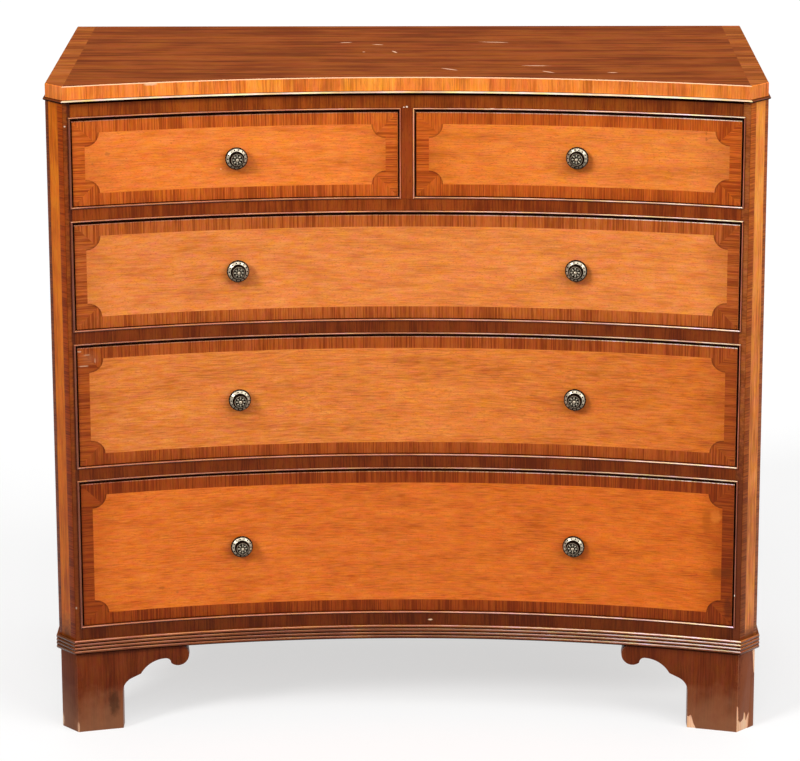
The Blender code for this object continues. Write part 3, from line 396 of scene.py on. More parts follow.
# Nicks, knots, stains and patches of painted shade and light by finish: x, distance behind the front edge
# of the top and height, half sizes, colour, strength and, where it isn't the usual one, softness
NICKS = (
    ("shaded", (-0.4313, 0.0049, 0.8101), (0.0014, 0.004, 0.0011), "f0d0b4", 0.9),
    ("shaded", (-0.4240, 0.0070, 0.8087), (0.0014, 0.004, 0.0011), "f0d0b4", 0.9),
    ("shaded", (-0.4322, 0.0046, 0.1722), (0.0012, 0.004, 0.0018), "f0d0b4", 0.9),
    ("bead", (0.4256, 0.0067, 0.1893), (0.0012, 0.006, 0.0018), "ffe8d0", 1.0),
    ("rail", (0.0296, 0.0714, 0.1346), (0.0030, 0.010, 0.0012), "f0c8a0", 0.9),
    ("moulding", (0.2427, 0.0509, 0.1133), (0.0028, 0.012, 0.0013), "e8b48c", 0.8),
    ("moulding", (0.2649, 0.0469, 0.1301), (0.0022, 0.012, 0.0011), "e8b48c", 0.8),
    # Painted shade on the left canted corner of the base moulding
    ("moulding", (-0.4490, 0.0180, 0.1180), (0.0200, 0.022, 0.0240), "240d04", 0.55),
    # Painted shade at the foot of each canted corner's stripe, deeper on the left
    ("edge", (-0.4455, 0.0180, 0.1300), (0.0300, 0.030, 0.0330), "4a2006", 0.85, 1.0),
    ("edge", (0.4455, 0.0180, 0.1300), (0.0300, 0.030, 0.0130), "6a3414", 0.85, 0.8),
    ("band", (-0.4206, 0.0090, 0.5160), (0.0030, 0.020, 0.0012), "e8bc98", 0.55),
    ("band", (-0.4080, 0.0130, 0.5060), (0.0140, 0.030, 0.0100), "c08058", 0.22, 1.0),
    ("band", (-0.4155, 0.0105, 0.4965), (0.0070, 0.020, 0.0009), "e8bc98", 0.50),
    ("band", (-0.4110, 0.0118, 0.5110), (0.0045, 0.020, 0.0008), "e8bc98", 0.40),
    ("band", (-0.4010, 0.0148, 0.5030), (0.0008, 0.020, 0.0040), "e8bc98", 0.35),
    ("rail", (0.0001, 0.0717, 0.8227), (0.0014, 0.010, 0.0013), "ffe8d0", 0.9),
    ("rail", (-0.0037, 0.0717, 0.8223), (0.0011, 0.010, 0.0010), "ffe8d0", 0.8),
    ("bead", (0.1085, 0.0676, 0.8219), (0.0034, 0.010, 0.0012), "ffe8d0", 0.9),
    ("edge", (-0.3240, 0.0320, 0.8600), (0.0085, 0.030, 0.0024), "f6c8a0", 0.8),
    # Painted shade and dirt in a strip beside the left stile's bead
    ("shaded", (-0.4262, 0.0067, 0.4700), (0.0034, 0.050, 0.9000), "40140a", 0.80),
    # Painted shade: both stiles darker towards the bottom
    ("shaded", (-0.4300, 0.0060, 0.1500), (0.0500, 0.050, 0.3000), "5a260e", 0.60),
    ("lit_stile", (0.4300, 0.0060, 0.1500), (0.0500, 0.050, 0.3000), "5c2510", 0.90),
    ("foot", (-0.4565, 0.0330, 0.0090), (0.0028, 0.007, 0.0100), "f0c4a0", 0.9),
    ("foot", (-0.4335, 0.0055, 0.0060), (0.0018, 0.004, 0.0090), "e8b490", 0.8),
    ("foot", (-0.3870, 0.0140, 0.0360), (0.0075, 0.050, 0.0180), "2e1c0c", 0.55),
    # Painted shade on the left foot's canted corner, and painted light on the right one's
    ("foot", (-0.4470, 0.0180, 0.0500), (0.0200, 0.022, 0.0900), "4a200a", 0.45),
    ("foot", (0.4470, 0.0180, 0.0500), (0.0200, 0.022, 0.0900), "96502c", 0.55),
    ("field", (-0.3223, 0.0363, 0.1899), (0.0045, 0.010, 0.0013), "a2541e", 0.6),
    ("field", (-0.3025, 0.0408, 0.1825), (0.0022, 0.010, 0.0022), "ac5c24", 0.6),
    ("calm", (0.3792, 0.0219, 0.7973), (0.0013, 0.010, 0.0026), "a85820", 0.6),
    ("calm", (0.3794, 0.0218, 0.7897), (0.0013, 0.010, 0.0026), "a85820", 0.6),
    ("calm", (-0.3796, 0.0218, 0.7715), (0.0034, 0.010, 0.0022), "b8662c", 0.6),
    ("calm", (-0.3984, 0.0165, 0.7601), (0.0016, 0.010, 0.0018), "b8662c", 0.6),
    ("calm", (-0.2377, 0.0533, 0.7459), (0.0013, 0.010, 0.0013), "ffc090", 0.7),
    ("field", (0.4000, 0.0160, 0.2930), (0.0080, 0.010, 0.0100), "ea8832", 0.36),
    ("field", (0.1635, 0.0638, 0.4434), (0.0055, 0.010, 0.0011), "a85820", 0.6),
    # Dark blotches at the right end of the bottom drawer
    ("field", (0.4050, 0.0150, 0.2177), (0.0110, 0.050, 0.0070), "803c08", 0.55),
    ("field", (0.3886, 0.0190, 0.2850), (0.0060, 0.050, 0.0200), "a85010", 0.45),
    ("band", (0.4150, 0.0110, 0.2177), (0.0090, 0.050, 0.0080), "5c2a08", 0.55),
    ("band", (0.4180, 0.0100, 0.1700), (0.0060, 0.050, 0.0160), "4a1e08", 0.55),
)
# Painted shadow and a stain of hands under a knob: its shift from the knob in x and z, half sizes, colour,
# strength and softness
SHADOW_STAIN_X, SHADOW_STAIN_Z = 0.004, -0.009
SHADOW_STAIN_HALF, SHADOW_STAIN_COLOUR, SHADOW_STAIN_STRENGTH, SHADOW_STAIN_SOFT = (0.024, 0.050, 0.017), "a44a10", 0.62, 1.1


def finishes():
    """Every material by a short name, made once."""
    made = plain_finishes()
    for x, behind, half, turn in SCUFFS:
        mark(made["top"], (x, FRONT_Y + behind, TOP_HIGH.z), (half, SCUFF_WIDTH, SCUFF_DEPTH),
             linear(SCUFF_COLOUR), 1.0, turn)
    for key, (x, behind, z), half, code, strength, *soft in NICKS:
        mark(made[key], (x, FRONT_Y + behind, z), half, linear(code), strength, 0.0, *soft)
    # The painted shadow and hand stain under each knob
    for name in DRAWERS:
        for x, z in knob_seats(name):
            mark(made[FIGURE[name]], (x + SHADOW_STAIN_X, bow(x, DRAWER_FACE), z + SHADOW_STAIN_Z), SHADOW_STAIN_HALF,
                 linear(SHADOW_STAIN_COLOUR), SHADOW_STAIN_STRENGTH, soft=SHADOW_STAIN_SOFT)
    return made


MOULDING_TONE = (0.85, 0.85, 0.85)      # factors of the mahogany's colour
# Stiles: the left one painted as in shade, the right one painted lighter and paler as lit
SHADED_TONE = (1.35, 1.25, 0.90)
LIT_STILE_TONE = (1.7, 2.0, 2.5)
CORE_TONE = (1.5, 1.5, 1.5)


def plain_finishes():
    """The materials without scuffs and nicks."""
    colours = bpy.context.scene.chest_colours
    mahogany = colours.mahogany
    level, deep, upright = (0, 2, 1), (1, 2, 0), (2, 0, 1)
    return {
        # Orange gold with short fine streaks, small curls and dark flecks under a soft polish
        "field": wood("Satinwood veneer, sawn and polished", colours.satinwood, SATIN),
        # The same wood with a quieter, cloudier figure
        "calm": wood("Satinwood veneer of plain figure, sawn and polished", colours.satinwood, CALM),
        # Red brown with close upright stripes, dark against the fields
        "band": wood("Crossband veneer, sawn and polished", colours.crossband, CROSS),
        # Golden orange with faint stripes, in short pieces along the edge of the top
        "edge": wood("Satinwood edge veneer, polished", colours.edge, PLAIN),
        # Dull brown with long dark streaks and hardly any shine left
        "top": wood("Mahogany veneer, faded", colours.top, FADED),
        # A little lighter, with the streaks across the ends
        "top_band": wood("Mahogany crossband, faded", colours.top_band, FADED),
        # Dark red brown with broad soft stripes from one rail's edge to the other
        "rail": wood("Mahogany cross veneer, polished", mahogany, RAIL),
        # Dark and smooth, with a line of light along each reed
        "moulding": wood("Mahogany moulding, run and polished", toned(mahogany, MOULDING_TONE), RUN),
        # The same with a sharper shine along the round of the bead
        "bead": wood("Mahogany bead, rounded and polished", colours.bead, GLOSSY),
        # Cream line with hardly any grain
        "boxwood": wood("Boxwood bead, polished", colours.boxwood, BOX),
        # Dark red brown, greyed and scuffed towards the floor
        "foot": foot_wood("Mahogany foot, polished and rubbed", colours.foot),
        # Plain red brown with long soft streaks and a low shine
        "upright": wood("Mahogany, polished, grain upright", mahogany, PLAIN, axes=upright),
        # The same with its streaks level
        "level": wood("Mahogany, polished, grain level", mahogany, PLAIN, axes=level),
        # A little warmer than the rest, and darker than the right stile: painted shade on the left stile
        "shaded": wood("Mahogany, polished, in shade", toned(mahogany, SHADED_TONE), PLAIN, axes=level),
        # Painted lighter, to a pale tan, as lit: the right stile
        "lit_stile": wood("Mahogany, polished, painted lighter as lit", toned(mahogany, LIT_STILE_TONE), PLAIN,
                       axes=level),
        # Matt and lighter, as the plane left it
        "core": wood("Mahogany, planed", toned(mahogany, CORE_TONE), LINING, axes=level),
        # Matt straw with long faint streaks from side to side, never polished
        "pine_x": wood("Pine, planed, grain across", colours.pine, LINING, axes=level),
        # The same with its streaks front to back
        "pine_y": wood("Pine, planed, grain front to back", colours.pine, LINING, axes=deep),
        # The same with its streaks upright
        "pine_z": wood("Pine, planed, grain upright", colours.pine, LINING, axes=upright),
        # Pale thin line along an edge: rubbed polish with a painted highlight
        "wear_and_highlight": plain("Polish rubbed through on an edge, with a painted highlight", colours.bare, 0.55),
        # Tan thin line along an edge: rubbed polish with a painted highlight
        "rubbed": plain("Mahogany, polish rubbed thin on an edge", linear("b07450"), 0.50),
        # Fresh pink wood, matt
        "bare": wood("Bare wood of a chip", colours.bare, LINING, axes=upright),
        # Grey gold with blurred highlights, nearly black in the hollows and painted darker under the rim, as
        # shade
        "brass": old_brass("Brass, cast and turned, with patina", colours.brass, colours.patina),
        # Nearly black, with no shine: painted shade in gaps and under beads, and dirt with painted shade in the
        # grooves of the base moulding
        "shade_and_dirt": plain("Painted shade and dirt in gaps and grooves, matt", linear("1e0702"), 0.95, 0.0),
        # Small dark grey dots
        "steel": plain("Steel pin, dull", linear("4a4845"), 0.5, metal=1.0),
    }


# Plan curves

def bow(x, depth):
    """Y of the bow at x, on the curve that lies depth behind the front edge of the top."""
    return BOW_CENTRE_Y + math.sqrt((BOW_RADIUS + depth) ** 2 - x * x)


def stations(x0, x1, step=STEP):
    """Even places from x0 to x1, no further apart than the step."""
    count = max(1, math.ceil((x1 - x0) / step - 1e-6))
    return [x0 + (x1 - x0) * k / count for k in range(count + 1)]


def bow_line(x0, x1, depth):
    """Plan points along the bow."""
    return [(x, bow(x, depth)) for x in stations(x0, x1)]


def canted_corner(hand):
    """Plan of a canted corner of the carcass: its start at the side, direction, width and outward normal."""
    start = Vector((hand * HALF, SIDE_CORNER_Y))
    end = Vector((hand * ARRIS_X, bow(ARRIS_X, FACE)))
    run = (end - start).normalized()
    return start, run, (end - start).length, Vector((-run.y, run.x)) * hand


def front_path(inset):
    """Plan points round the chest, from the back of its left side to the back of its right side."""
    corner = FRONT_Y + CANT_Y + inset
    left = [(-HALF, BACK_Y), (-HALF, corner)]
    right = [(HALF, corner), (HALF, BACK_Y)]
    return left + bow_line(-ARRIS_X, ARRIS_X, inset) + right


def mitres(path, closed=False):
    """Outward vector at each plan point, as long as a mitred offset of 1 needs."""
    points = [Vector(p) for p in path]
    ends = points[1:] + (points[:1] if closed else [])
    normals = []
    for a, b in zip(points, ends):
        run = (b - a).normalized()
        normals.append(Vector((run.y, -run.x)))
    before = [normals[-1] if closed else normals[0], *normals[:len(points) - 1]]
    after = normals if closed else [*normals, normals[-1]]
    return [(m + n) / (1 + m.dot(n)) for m, n in zip(before, after)]


def offset(path, out, closed=False):
    """A plan path moved outwards, corners mitred."""
    return [(p[0] + m.x * out, p[1] + m.y * out) for p, m in zip(path, mitres(path, closed))]


def arc(cx, cy, radius, start, end, steps):
    """Points of a circular arc, angles in degrees."""
    angles = [math.radians(start + (end - start) * k / steps) for k in range(steps + 1)]
    return [(cx + radius * math.cos(a), cy + radius * math.sin(a)) for a in angles]


def running(points):
    """Distance along a line of points at each of them."""
    total = [0.0]
    for a, b in zip(points, points[1:]):
        total.append(total[-1] + (Vector(b) - Vector(a)).length)
    return total


# Meshes

EVEN = (1.0, 1.0, 1.0)          # tone that leaves a colour as it is


class Patchwork:
    """Faces that meet at shared corners, each with its own grain, shade and finish."""

    def __init__(self):
        self.bm = bmesh.new()
        self.grain = self.bm.loops.layers.float_vector.new("grain")
        self.shade = self.bm.loops.layers.float_color.new("shade")
        self.corners = {}

    def corner(self, point):
        key = tuple(round(c, 6) for c in point)
        if key not in self.corners:
            self.corners[key] = self.bm.verts.new(point)
        return self.corners[key]

    def add(self, points, grains, slot=0, tint=EVEN):
        """Adds a face, counter-clockwise from outside, with (along, across, seed) at each corner.

        The tone is one for the face or one for each of its corners.
        """
        tones = [tint] * len(points) if isinstance(tint[0], float) else tint
        face = self.bm.faces.new([self.corner(p) for p in points])
        face.material_index = slot
        face.smooth = True
        for loop, grain, tone in zip(face.loops, grains, tones):
            loop[self.grain] = grain
            loop[self.shade] = (*tone, 1.0)

    def mesh(self, name, closed=True):
        if closed:
            bmesh.ops.recalc_face_normals(self.bm, faces=self.bm.faces)
        mesh = bpy.data.meshes.new(name)
        self.bm.to_mesh(mesh)
        self.bm.free()
        return mesh


def loft(rings, closed=False, seed=0.0, slot_of=None, tint_of=None):
    """Skins a run of like sections, with the grain along the run. An open run gets a cap at each end.

    slot_of gives the finish by the places along the run and round it, tint_of the tone by those and x.
    """
    work = Patchwork()
    along = running([ring[0] for ring in [*rings, rings[0]]])
    across = running([*rings[0], rings[0][0]])
    size = len(rings[0])
    count = len(rings) if closed else len(rings) - 1
    for i in range(count):
        a, b = rings[i], rings[(i + 1) % len(rings)]
        for k in range(size):
            j = (k + 1) % size
            grains = [(along[i], across[k], seed), (along[i], across[k + 1], seed)]
            grains += [(along[i + 1], across[k + 1], seed), (along[i + 1], across[k], seed)]
            tint = tint_of(i, k, a[k][0]) if tint_of else EVEN
            work.add((a[k], a[j], b[j], b[k]), grains, slot_of(i, k) if slot_of else 0, tint)
    if not closed:
        for ring in (rings[0], rings[-1]):
            work.add(ring, [(0.0, u, seed) for u in across[:-1]])
    return work


def swept(path, section, seed=0.0, slot_of=None, tint_of=None):
    """A moulding along a plan path: section points are (out from the path, z)."""
    lines = [offset(path, out) for out, _ in section]
    rings = [[(*line[i], z) for line, (_, z) in zip(lines, section)] for i in range(len(path))]
    return loft(rings, seed=seed, slot_of=slot_of, tint_of=tint_of)


def settle(obj):
    """Keeps an object's evaluated mesh and none of its modifiers."""
    graph = bpy.context.evaluated_depsgraph_get()
    shaped = obj.evaluated_get(graph)
    mesh = bpy.data.meshes.new_from_object(shaped, preserve_all_data_layers=True, depsgraph=graph)
    before = obj.data
    obj.modifiers.clear()
    obj.data = mesh
    mesh.name = obj.name
    bpy.data.meshes.remove(before)


def add_object(name, mesh, slots=()):
    obj = bpy.data.objects.new(name, mesh)
    bpy.context.scene.collection.objects.link(obj)
    for material in slots:
        mesh.materials.append(material)
    return obj


def soften(obj, width, slot=-1, angle=50.0):
    """Rounds the sharp edges. The new faces get the material in the slot."""
    bevel = obj.modifiers.new("Arris", "BEVEL")
    bevel.width = width
    bevel.segments = 2
    bevel.limit_method = "ANGLE"
    bevel.angle_limit = math.radians(angle)
    bevel.material = slot


def thicken(obj, thickness):
    """Gives a sheet a thickness behind its face."""
    solid = obj.modifiers.new("Thickness", "SOLIDIFY")
    solid.thickness = thickness
    solid.offset = -1.0


def deliver(obj, body, slot, *nodes, sharp=35.0):
    """Hands a finished piece to the frame."""
    if obj.modifiers:
        settle(obj)
    for face in obj.data.polygons:
        face.use_smooth = True
    obj.data.set_sharp_from_angle(angle=math.radians(sharp))
    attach(obj, body)
    if nodes:
        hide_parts(*nodes)


def start_group(name, inputs):
    """A Geometry Nodes group with more inputs than its geometry: the group, what comes in and the sockets."""
    tree = bpy.data.node_groups.new(name, "GeometryNodeTree")
    tree.is_modifier = True
    tree.interface.new_socket("Geometry", in_out="INPUT", socket_type="NodeSocketGeometry")
    sockets = {}
    for label, kind in inputs.items():
        made = tree.interface.new_socket(label, in_out="INPUT", socket_type=f"NodeSocket{kind}")
        sockets[label] = made.identifier
    tree.interface.new_socket("Geometry", in_out="OUTPUT", socket_type="NodeSocketGeometry")
    return tree, node(tree, "NodeGroupInput").outputs, sockets


def use_group(obj, tree, geometry, metal, values):
    """Ends a group in one mesh of one metal and sets it on an object. values holds each socket's value."""
    real = node(tree, "GeometryNodeRealizeInstances", {0: geometry})
    painted = node(tree, "GeometryNodeSetMaterial", {"Geometry": real.outputs[0], "Material": metal})
    node(tree, "NodeGroupOutput", {0: painted.outputs[0]})
    modifier = obj.modifiers.new(tree.name, "NODES")
    modifier.node_group = tree
    for socket, value in values.items():
        modifier[socket] = value


def opening(name):
    """Clear opening of a drawer as x from and to, z from and to, read from its cockbead."""
    low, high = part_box(f"{name}_cockbead")
    edge = BEAD - SEAT
    return low.x + edge, high.x - edge, low.z + edge, high.z - edge


def knob_seats(name):
    """Places of a drawer's knobs as (x, z)."""
    x0, x1, z0, z1 = opening(name)
    return [(x, (z0 + z1) / 2 - KNOB_DROP) for x in (-KNOB_X, KNOB_X) if x0 < x < x1]


MATERIALS = {}


def materials(*keys):
    """Materials by their short names, all made at the first call."""
    if not MATERIALS:
        MATERIALS.update(finishes())
    return [MATERIALS[key] for key in keys]


# Pieces

# The edge of the top is banded in short pieces of differing tone and yellowness
EDGE_PIECE = 0.062
EDGE_FALL = 0.10                # fall of the tone in a metre to the right
EDGE_FADE, EDGE_FADE_X = 0.28, 0.1      # further fall beyond an x
CORNER_EDGE = (1.02, 1.0)       # tone and yellowness of the edge at the canted corners
EDGE_TONES = ((1.00, 1.00), (0.92, 0.93), (1.04, 1.06), (0.97, 0.96), (1.06, 1.16), (0.90, 0.95), (1.03, 1.18),
              (0.95, 0.98), (1.02, 1.10), (0.93, 0.92), (1.00, 1.03))
TOP_ARRIS = 2.0                 # rubbed edge of the top with a painted highlight, in worn arrises
# Slots of the top's finishes, and where its sheets lie in the pattern of their wood
TOP_FIELD, TOP_ENDS, TOP_EDGE, TOP_UNDER, TOP_WEAR_AND_HIGHLIGHT = range(5)
EDGE_AT, LEFT_END_AT, RIGHT_END_AT, FIELD_AT, UNDER_AT = 1.0, 2.0, 3.0, 4.0, 5.0


class CHEST_OT_top(bpy.types.Operator):
    """Veneered top with banded ends, a crossbanded edge and a rubbed arris"""

    bl_idname = "chest.top"
    bl_label = "Top"

    def execute(self, context):
        veneer = context.scene.chest_veneer
        split = HALF - veneer.top_band
        corner = FRONT_Y + CANT_Y
        bowed = [(x, bow(x, 0.0)) for x in stations(-split, split)]
        loop = [(-HALF, BACK_Y), (-HALF, corner), (-ARRIS_X, FRONT_Y), *bowed]
        loop += [(ARRIS_X, FRONT_Y), (HALF, corner), (HALF, BACK_Y), (split, BACK_Y), (-split, BACK_Y)]
        low, high = TOP_LOW.z, TOP_HIGH.z
        arris, rub = veneer.arris, veneer.arris * TOP_ARRIS
        levels = [(offset(loop, -arris, closed=True), low), (loop, low + arris), (loop, high - rub),
                  (offset(loop, -rub, closed=True), high)]
        rings = [[(*p, z) for p in line] for line, z in levels]
        first, last = 3, 3 + len(bowed)
        work = Patchwork()
        round_edge = running(rings[0] + rings[0][:1])
        count = len(loop)
        for i in range(count):
            j = (i + 1) % count
            front, bowed_edge = 1 <= i < last + 1, 2 <= i < last
            for (a, b), kind in zip(zip(rings, rings[1:]), ("under", "edge", "rub")):
                points = (a[i], a[j], b[j], b[i])
                across = (round_edge[i], round_edge[i + 1], round_edge[i + 1], round_edge[i])
                # The bowed front arris is rubbed, with a painted highlight
                edge, rubbed = TOP_EDGE, TOP_WEAR_AND_HIGHLIGHT if bowed_edge else TOP_EDGE
                if not front:
                    edge = rubbed = TOP_ENDS
                slot = {"under": TOP_UNDER, "edge": edge, "rub": rubbed}[kind]
                x = a[i][0]
                tone, yellow = EDGE_TONES[int((x + HALF) / EDGE_PIECE) % len(EDGE_TONES)]
                tone -= EDGE_FALL * x + EDGE_FADE * max(0.0, x - EDGE_FADE_X)
                if not bowed_edge:
                    tone, yellow = CORNER_EDGE
                tint = (tone, tone * yellow, tone) if slot == TOP_EDGE else EVEN
                work.add(points, [(p[2], u, EDGE_AT) for p, u in zip(points, across)], slot, tint)
        crown = rings[-1]
        left = [crown[k] for k in (0, 1, 2, 3, count - 1)]
        right = [crown[k] for k in (last - 1, last, last + 1, last + 2, last + 3)]
        field = crown[first:last] + crown[last + 3:]
        sheets = ((left, TOP_ENDS, LEFT_END_AT), (right, TOP_ENDS, RIGHT_END_AT), (field, TOP_FIELD, FIELD_AT),
                  (rings[0], TOP_UNDER, UNDER_AT))
        for points, slot, seed in sheets:
            work.add(points, [(p[0], p[1], seed) for p in points], slot)
        slots = materials("top", "top_band", "edge", "rail", "wear_and_highlight")
        obj = add_object("veneered_top", work.mesh("veneered_top"), slots)
        deliver(obj, "carcass", "mahogany", "top_board", sharp=25.0)
        return {"FINISHED"}


# Colour of a crest's rubbed polish and painted highlight at the left, in the middle and at the right of the
# chest: paler to the right, where the painted highlight is stronger
WEAR_AND_HIGHLIGHT = [linear(code) for code in ("bc724f", "c77f56", "ffdcc4")]


def between(stops, share):
    """Colour at a share of the way along a row of three."""
    place = min(1.999, max(0.0, 2 * share))
    low, part = int(place), place % 1
    return [a + (b - a) * part for a, b in zip(stops[low], stops[low + 1])]


def wear_and_highlight(x, base, strength=1.0):
    """Tone that turns the base colour into that of a rubbed crest at x."""
    return [min(1.0, strength * a) / c for a, c in zip(between(WEAR_AND_HIGHLIGHT, 0.5 + 0.5 * x / ARRIS_X), base)]


# Width of the bands on each drawer front: left, right, below and above its field
BANDS = {
    "bottom": (0.0150, 0.0150, 0.0150, 0.0175),
    "third": (0.0150, 0.0150, 0.0150, 0.0172),
    "second": (0.0150, 0.0150, 0.0155, 0.0172),
    "short_left": (0.0160, 0.0160, 0.0155, 0.0172),
    "short_right": (0.0170, 0.0150, 0.0155, 0.0172),
}
# Tone of the sheets on each drawer front, of its field and of its bands: they darken towards the bottom,
# partly painted shade as the light falls off towards the floor and partly the veneers' own tone
TINTS = {
    "bottom": ((0.88, 0.70, 0.45), (0.63, 0.46, 0.26)),
    "third": ((0.88, 0.82, 0.65), (0.86, 0.75, 0.60)),
    "second": ((0.98, 1.00, 0.90), (1.04, 1.02, 0.95)),
    "short_left": ((1.04, 0.92, 0.65), (1.32, 1.16, 0.74)),
    "short_right": ((1.05, 0.98, 0.70), (1.20, 1.00, 0.55)),
}
# Tone of the left end, the middle and the right end of a field: partly painted light and shade from how the
# lamps fall across the bow, partly the veneer's own tone
LEAN = {
    "bottom": ((1.02, 1.04, 0.88), (0.93, 0.92, 0.78), (0.95, 0.90, 0.58)),
    "third": ((1.01, 1.10, 1.18), (1.00, 1.08, 1.06), (0.93, 0.87, 0.63)),
    "second": ((1.00, 1.03, 1.10), (0.99, 1.03, 1.06), (1.02, 1.06, 1.08)),
    "short_left": ((1.00, 1.00, 0.93), (1.03, 1.06, 1.02), (1.00, 1.03, 0.95)),
    "short_right": ((0.93, 0.89, 0.72), (0.98, 1.00, 0.94), (0.94, 1.00, 1.06)),
}
DARK_END = 0.035                # length over which a field darkens to its ends
# How much it darkens at its left and at its right, and how much faster green and blue fall than red
END_TONES = {"bottom": (0.18, 0.32)}
OTHER_ENDS = (0.14, 0.20)
END_FALL = (1.0, 1.25, 1.8)
# Edges of a drawer front: the painted shadow over it and at its left, and the rubbed arris at its top and right
# with a painted highlight
TOP_SHADE, LEFT_SHADE = 0.0015, 0.0008
TOP_RUB, RIGHT_RUB = 0.0012, 0.0008
# Strength of the painted highlight on the top arris, and tone of the one on the right arris
TOP_ARRIS_HIGHLIGHT, RIGHT_HIGHLIGHT = 0.9, (1.15, 1.45, 2.6)
# Dark contour of a rounded corner piece: its width and tone
CONTOUR, CONTOUR_TONE = 0.0030, (0.55, 0.55, 0.55)
NOTCH_STEPS = 6                 # facets of a rounded corner
FRONT_ARRIS = 0.7               # rounded edge of the sheets, in worn arrises, painted dark as the shade of the gap round the drawer
# Where each sheet lies in the pattern of its wood, so that no two are alike
FIELD, BAND_BELOW, BAND_ABOVE, BAND_LEFT, BAND_RIGHT = 0.0, 0.11, 0.23, 0.31, 0.43
CORNER_LEVEL, CORNER_RISING, NEXT_CORNER = 0.50, 0.53, 0.07
NEXT_DRAWER, NEXT_RAIL = 0.37, 0.41


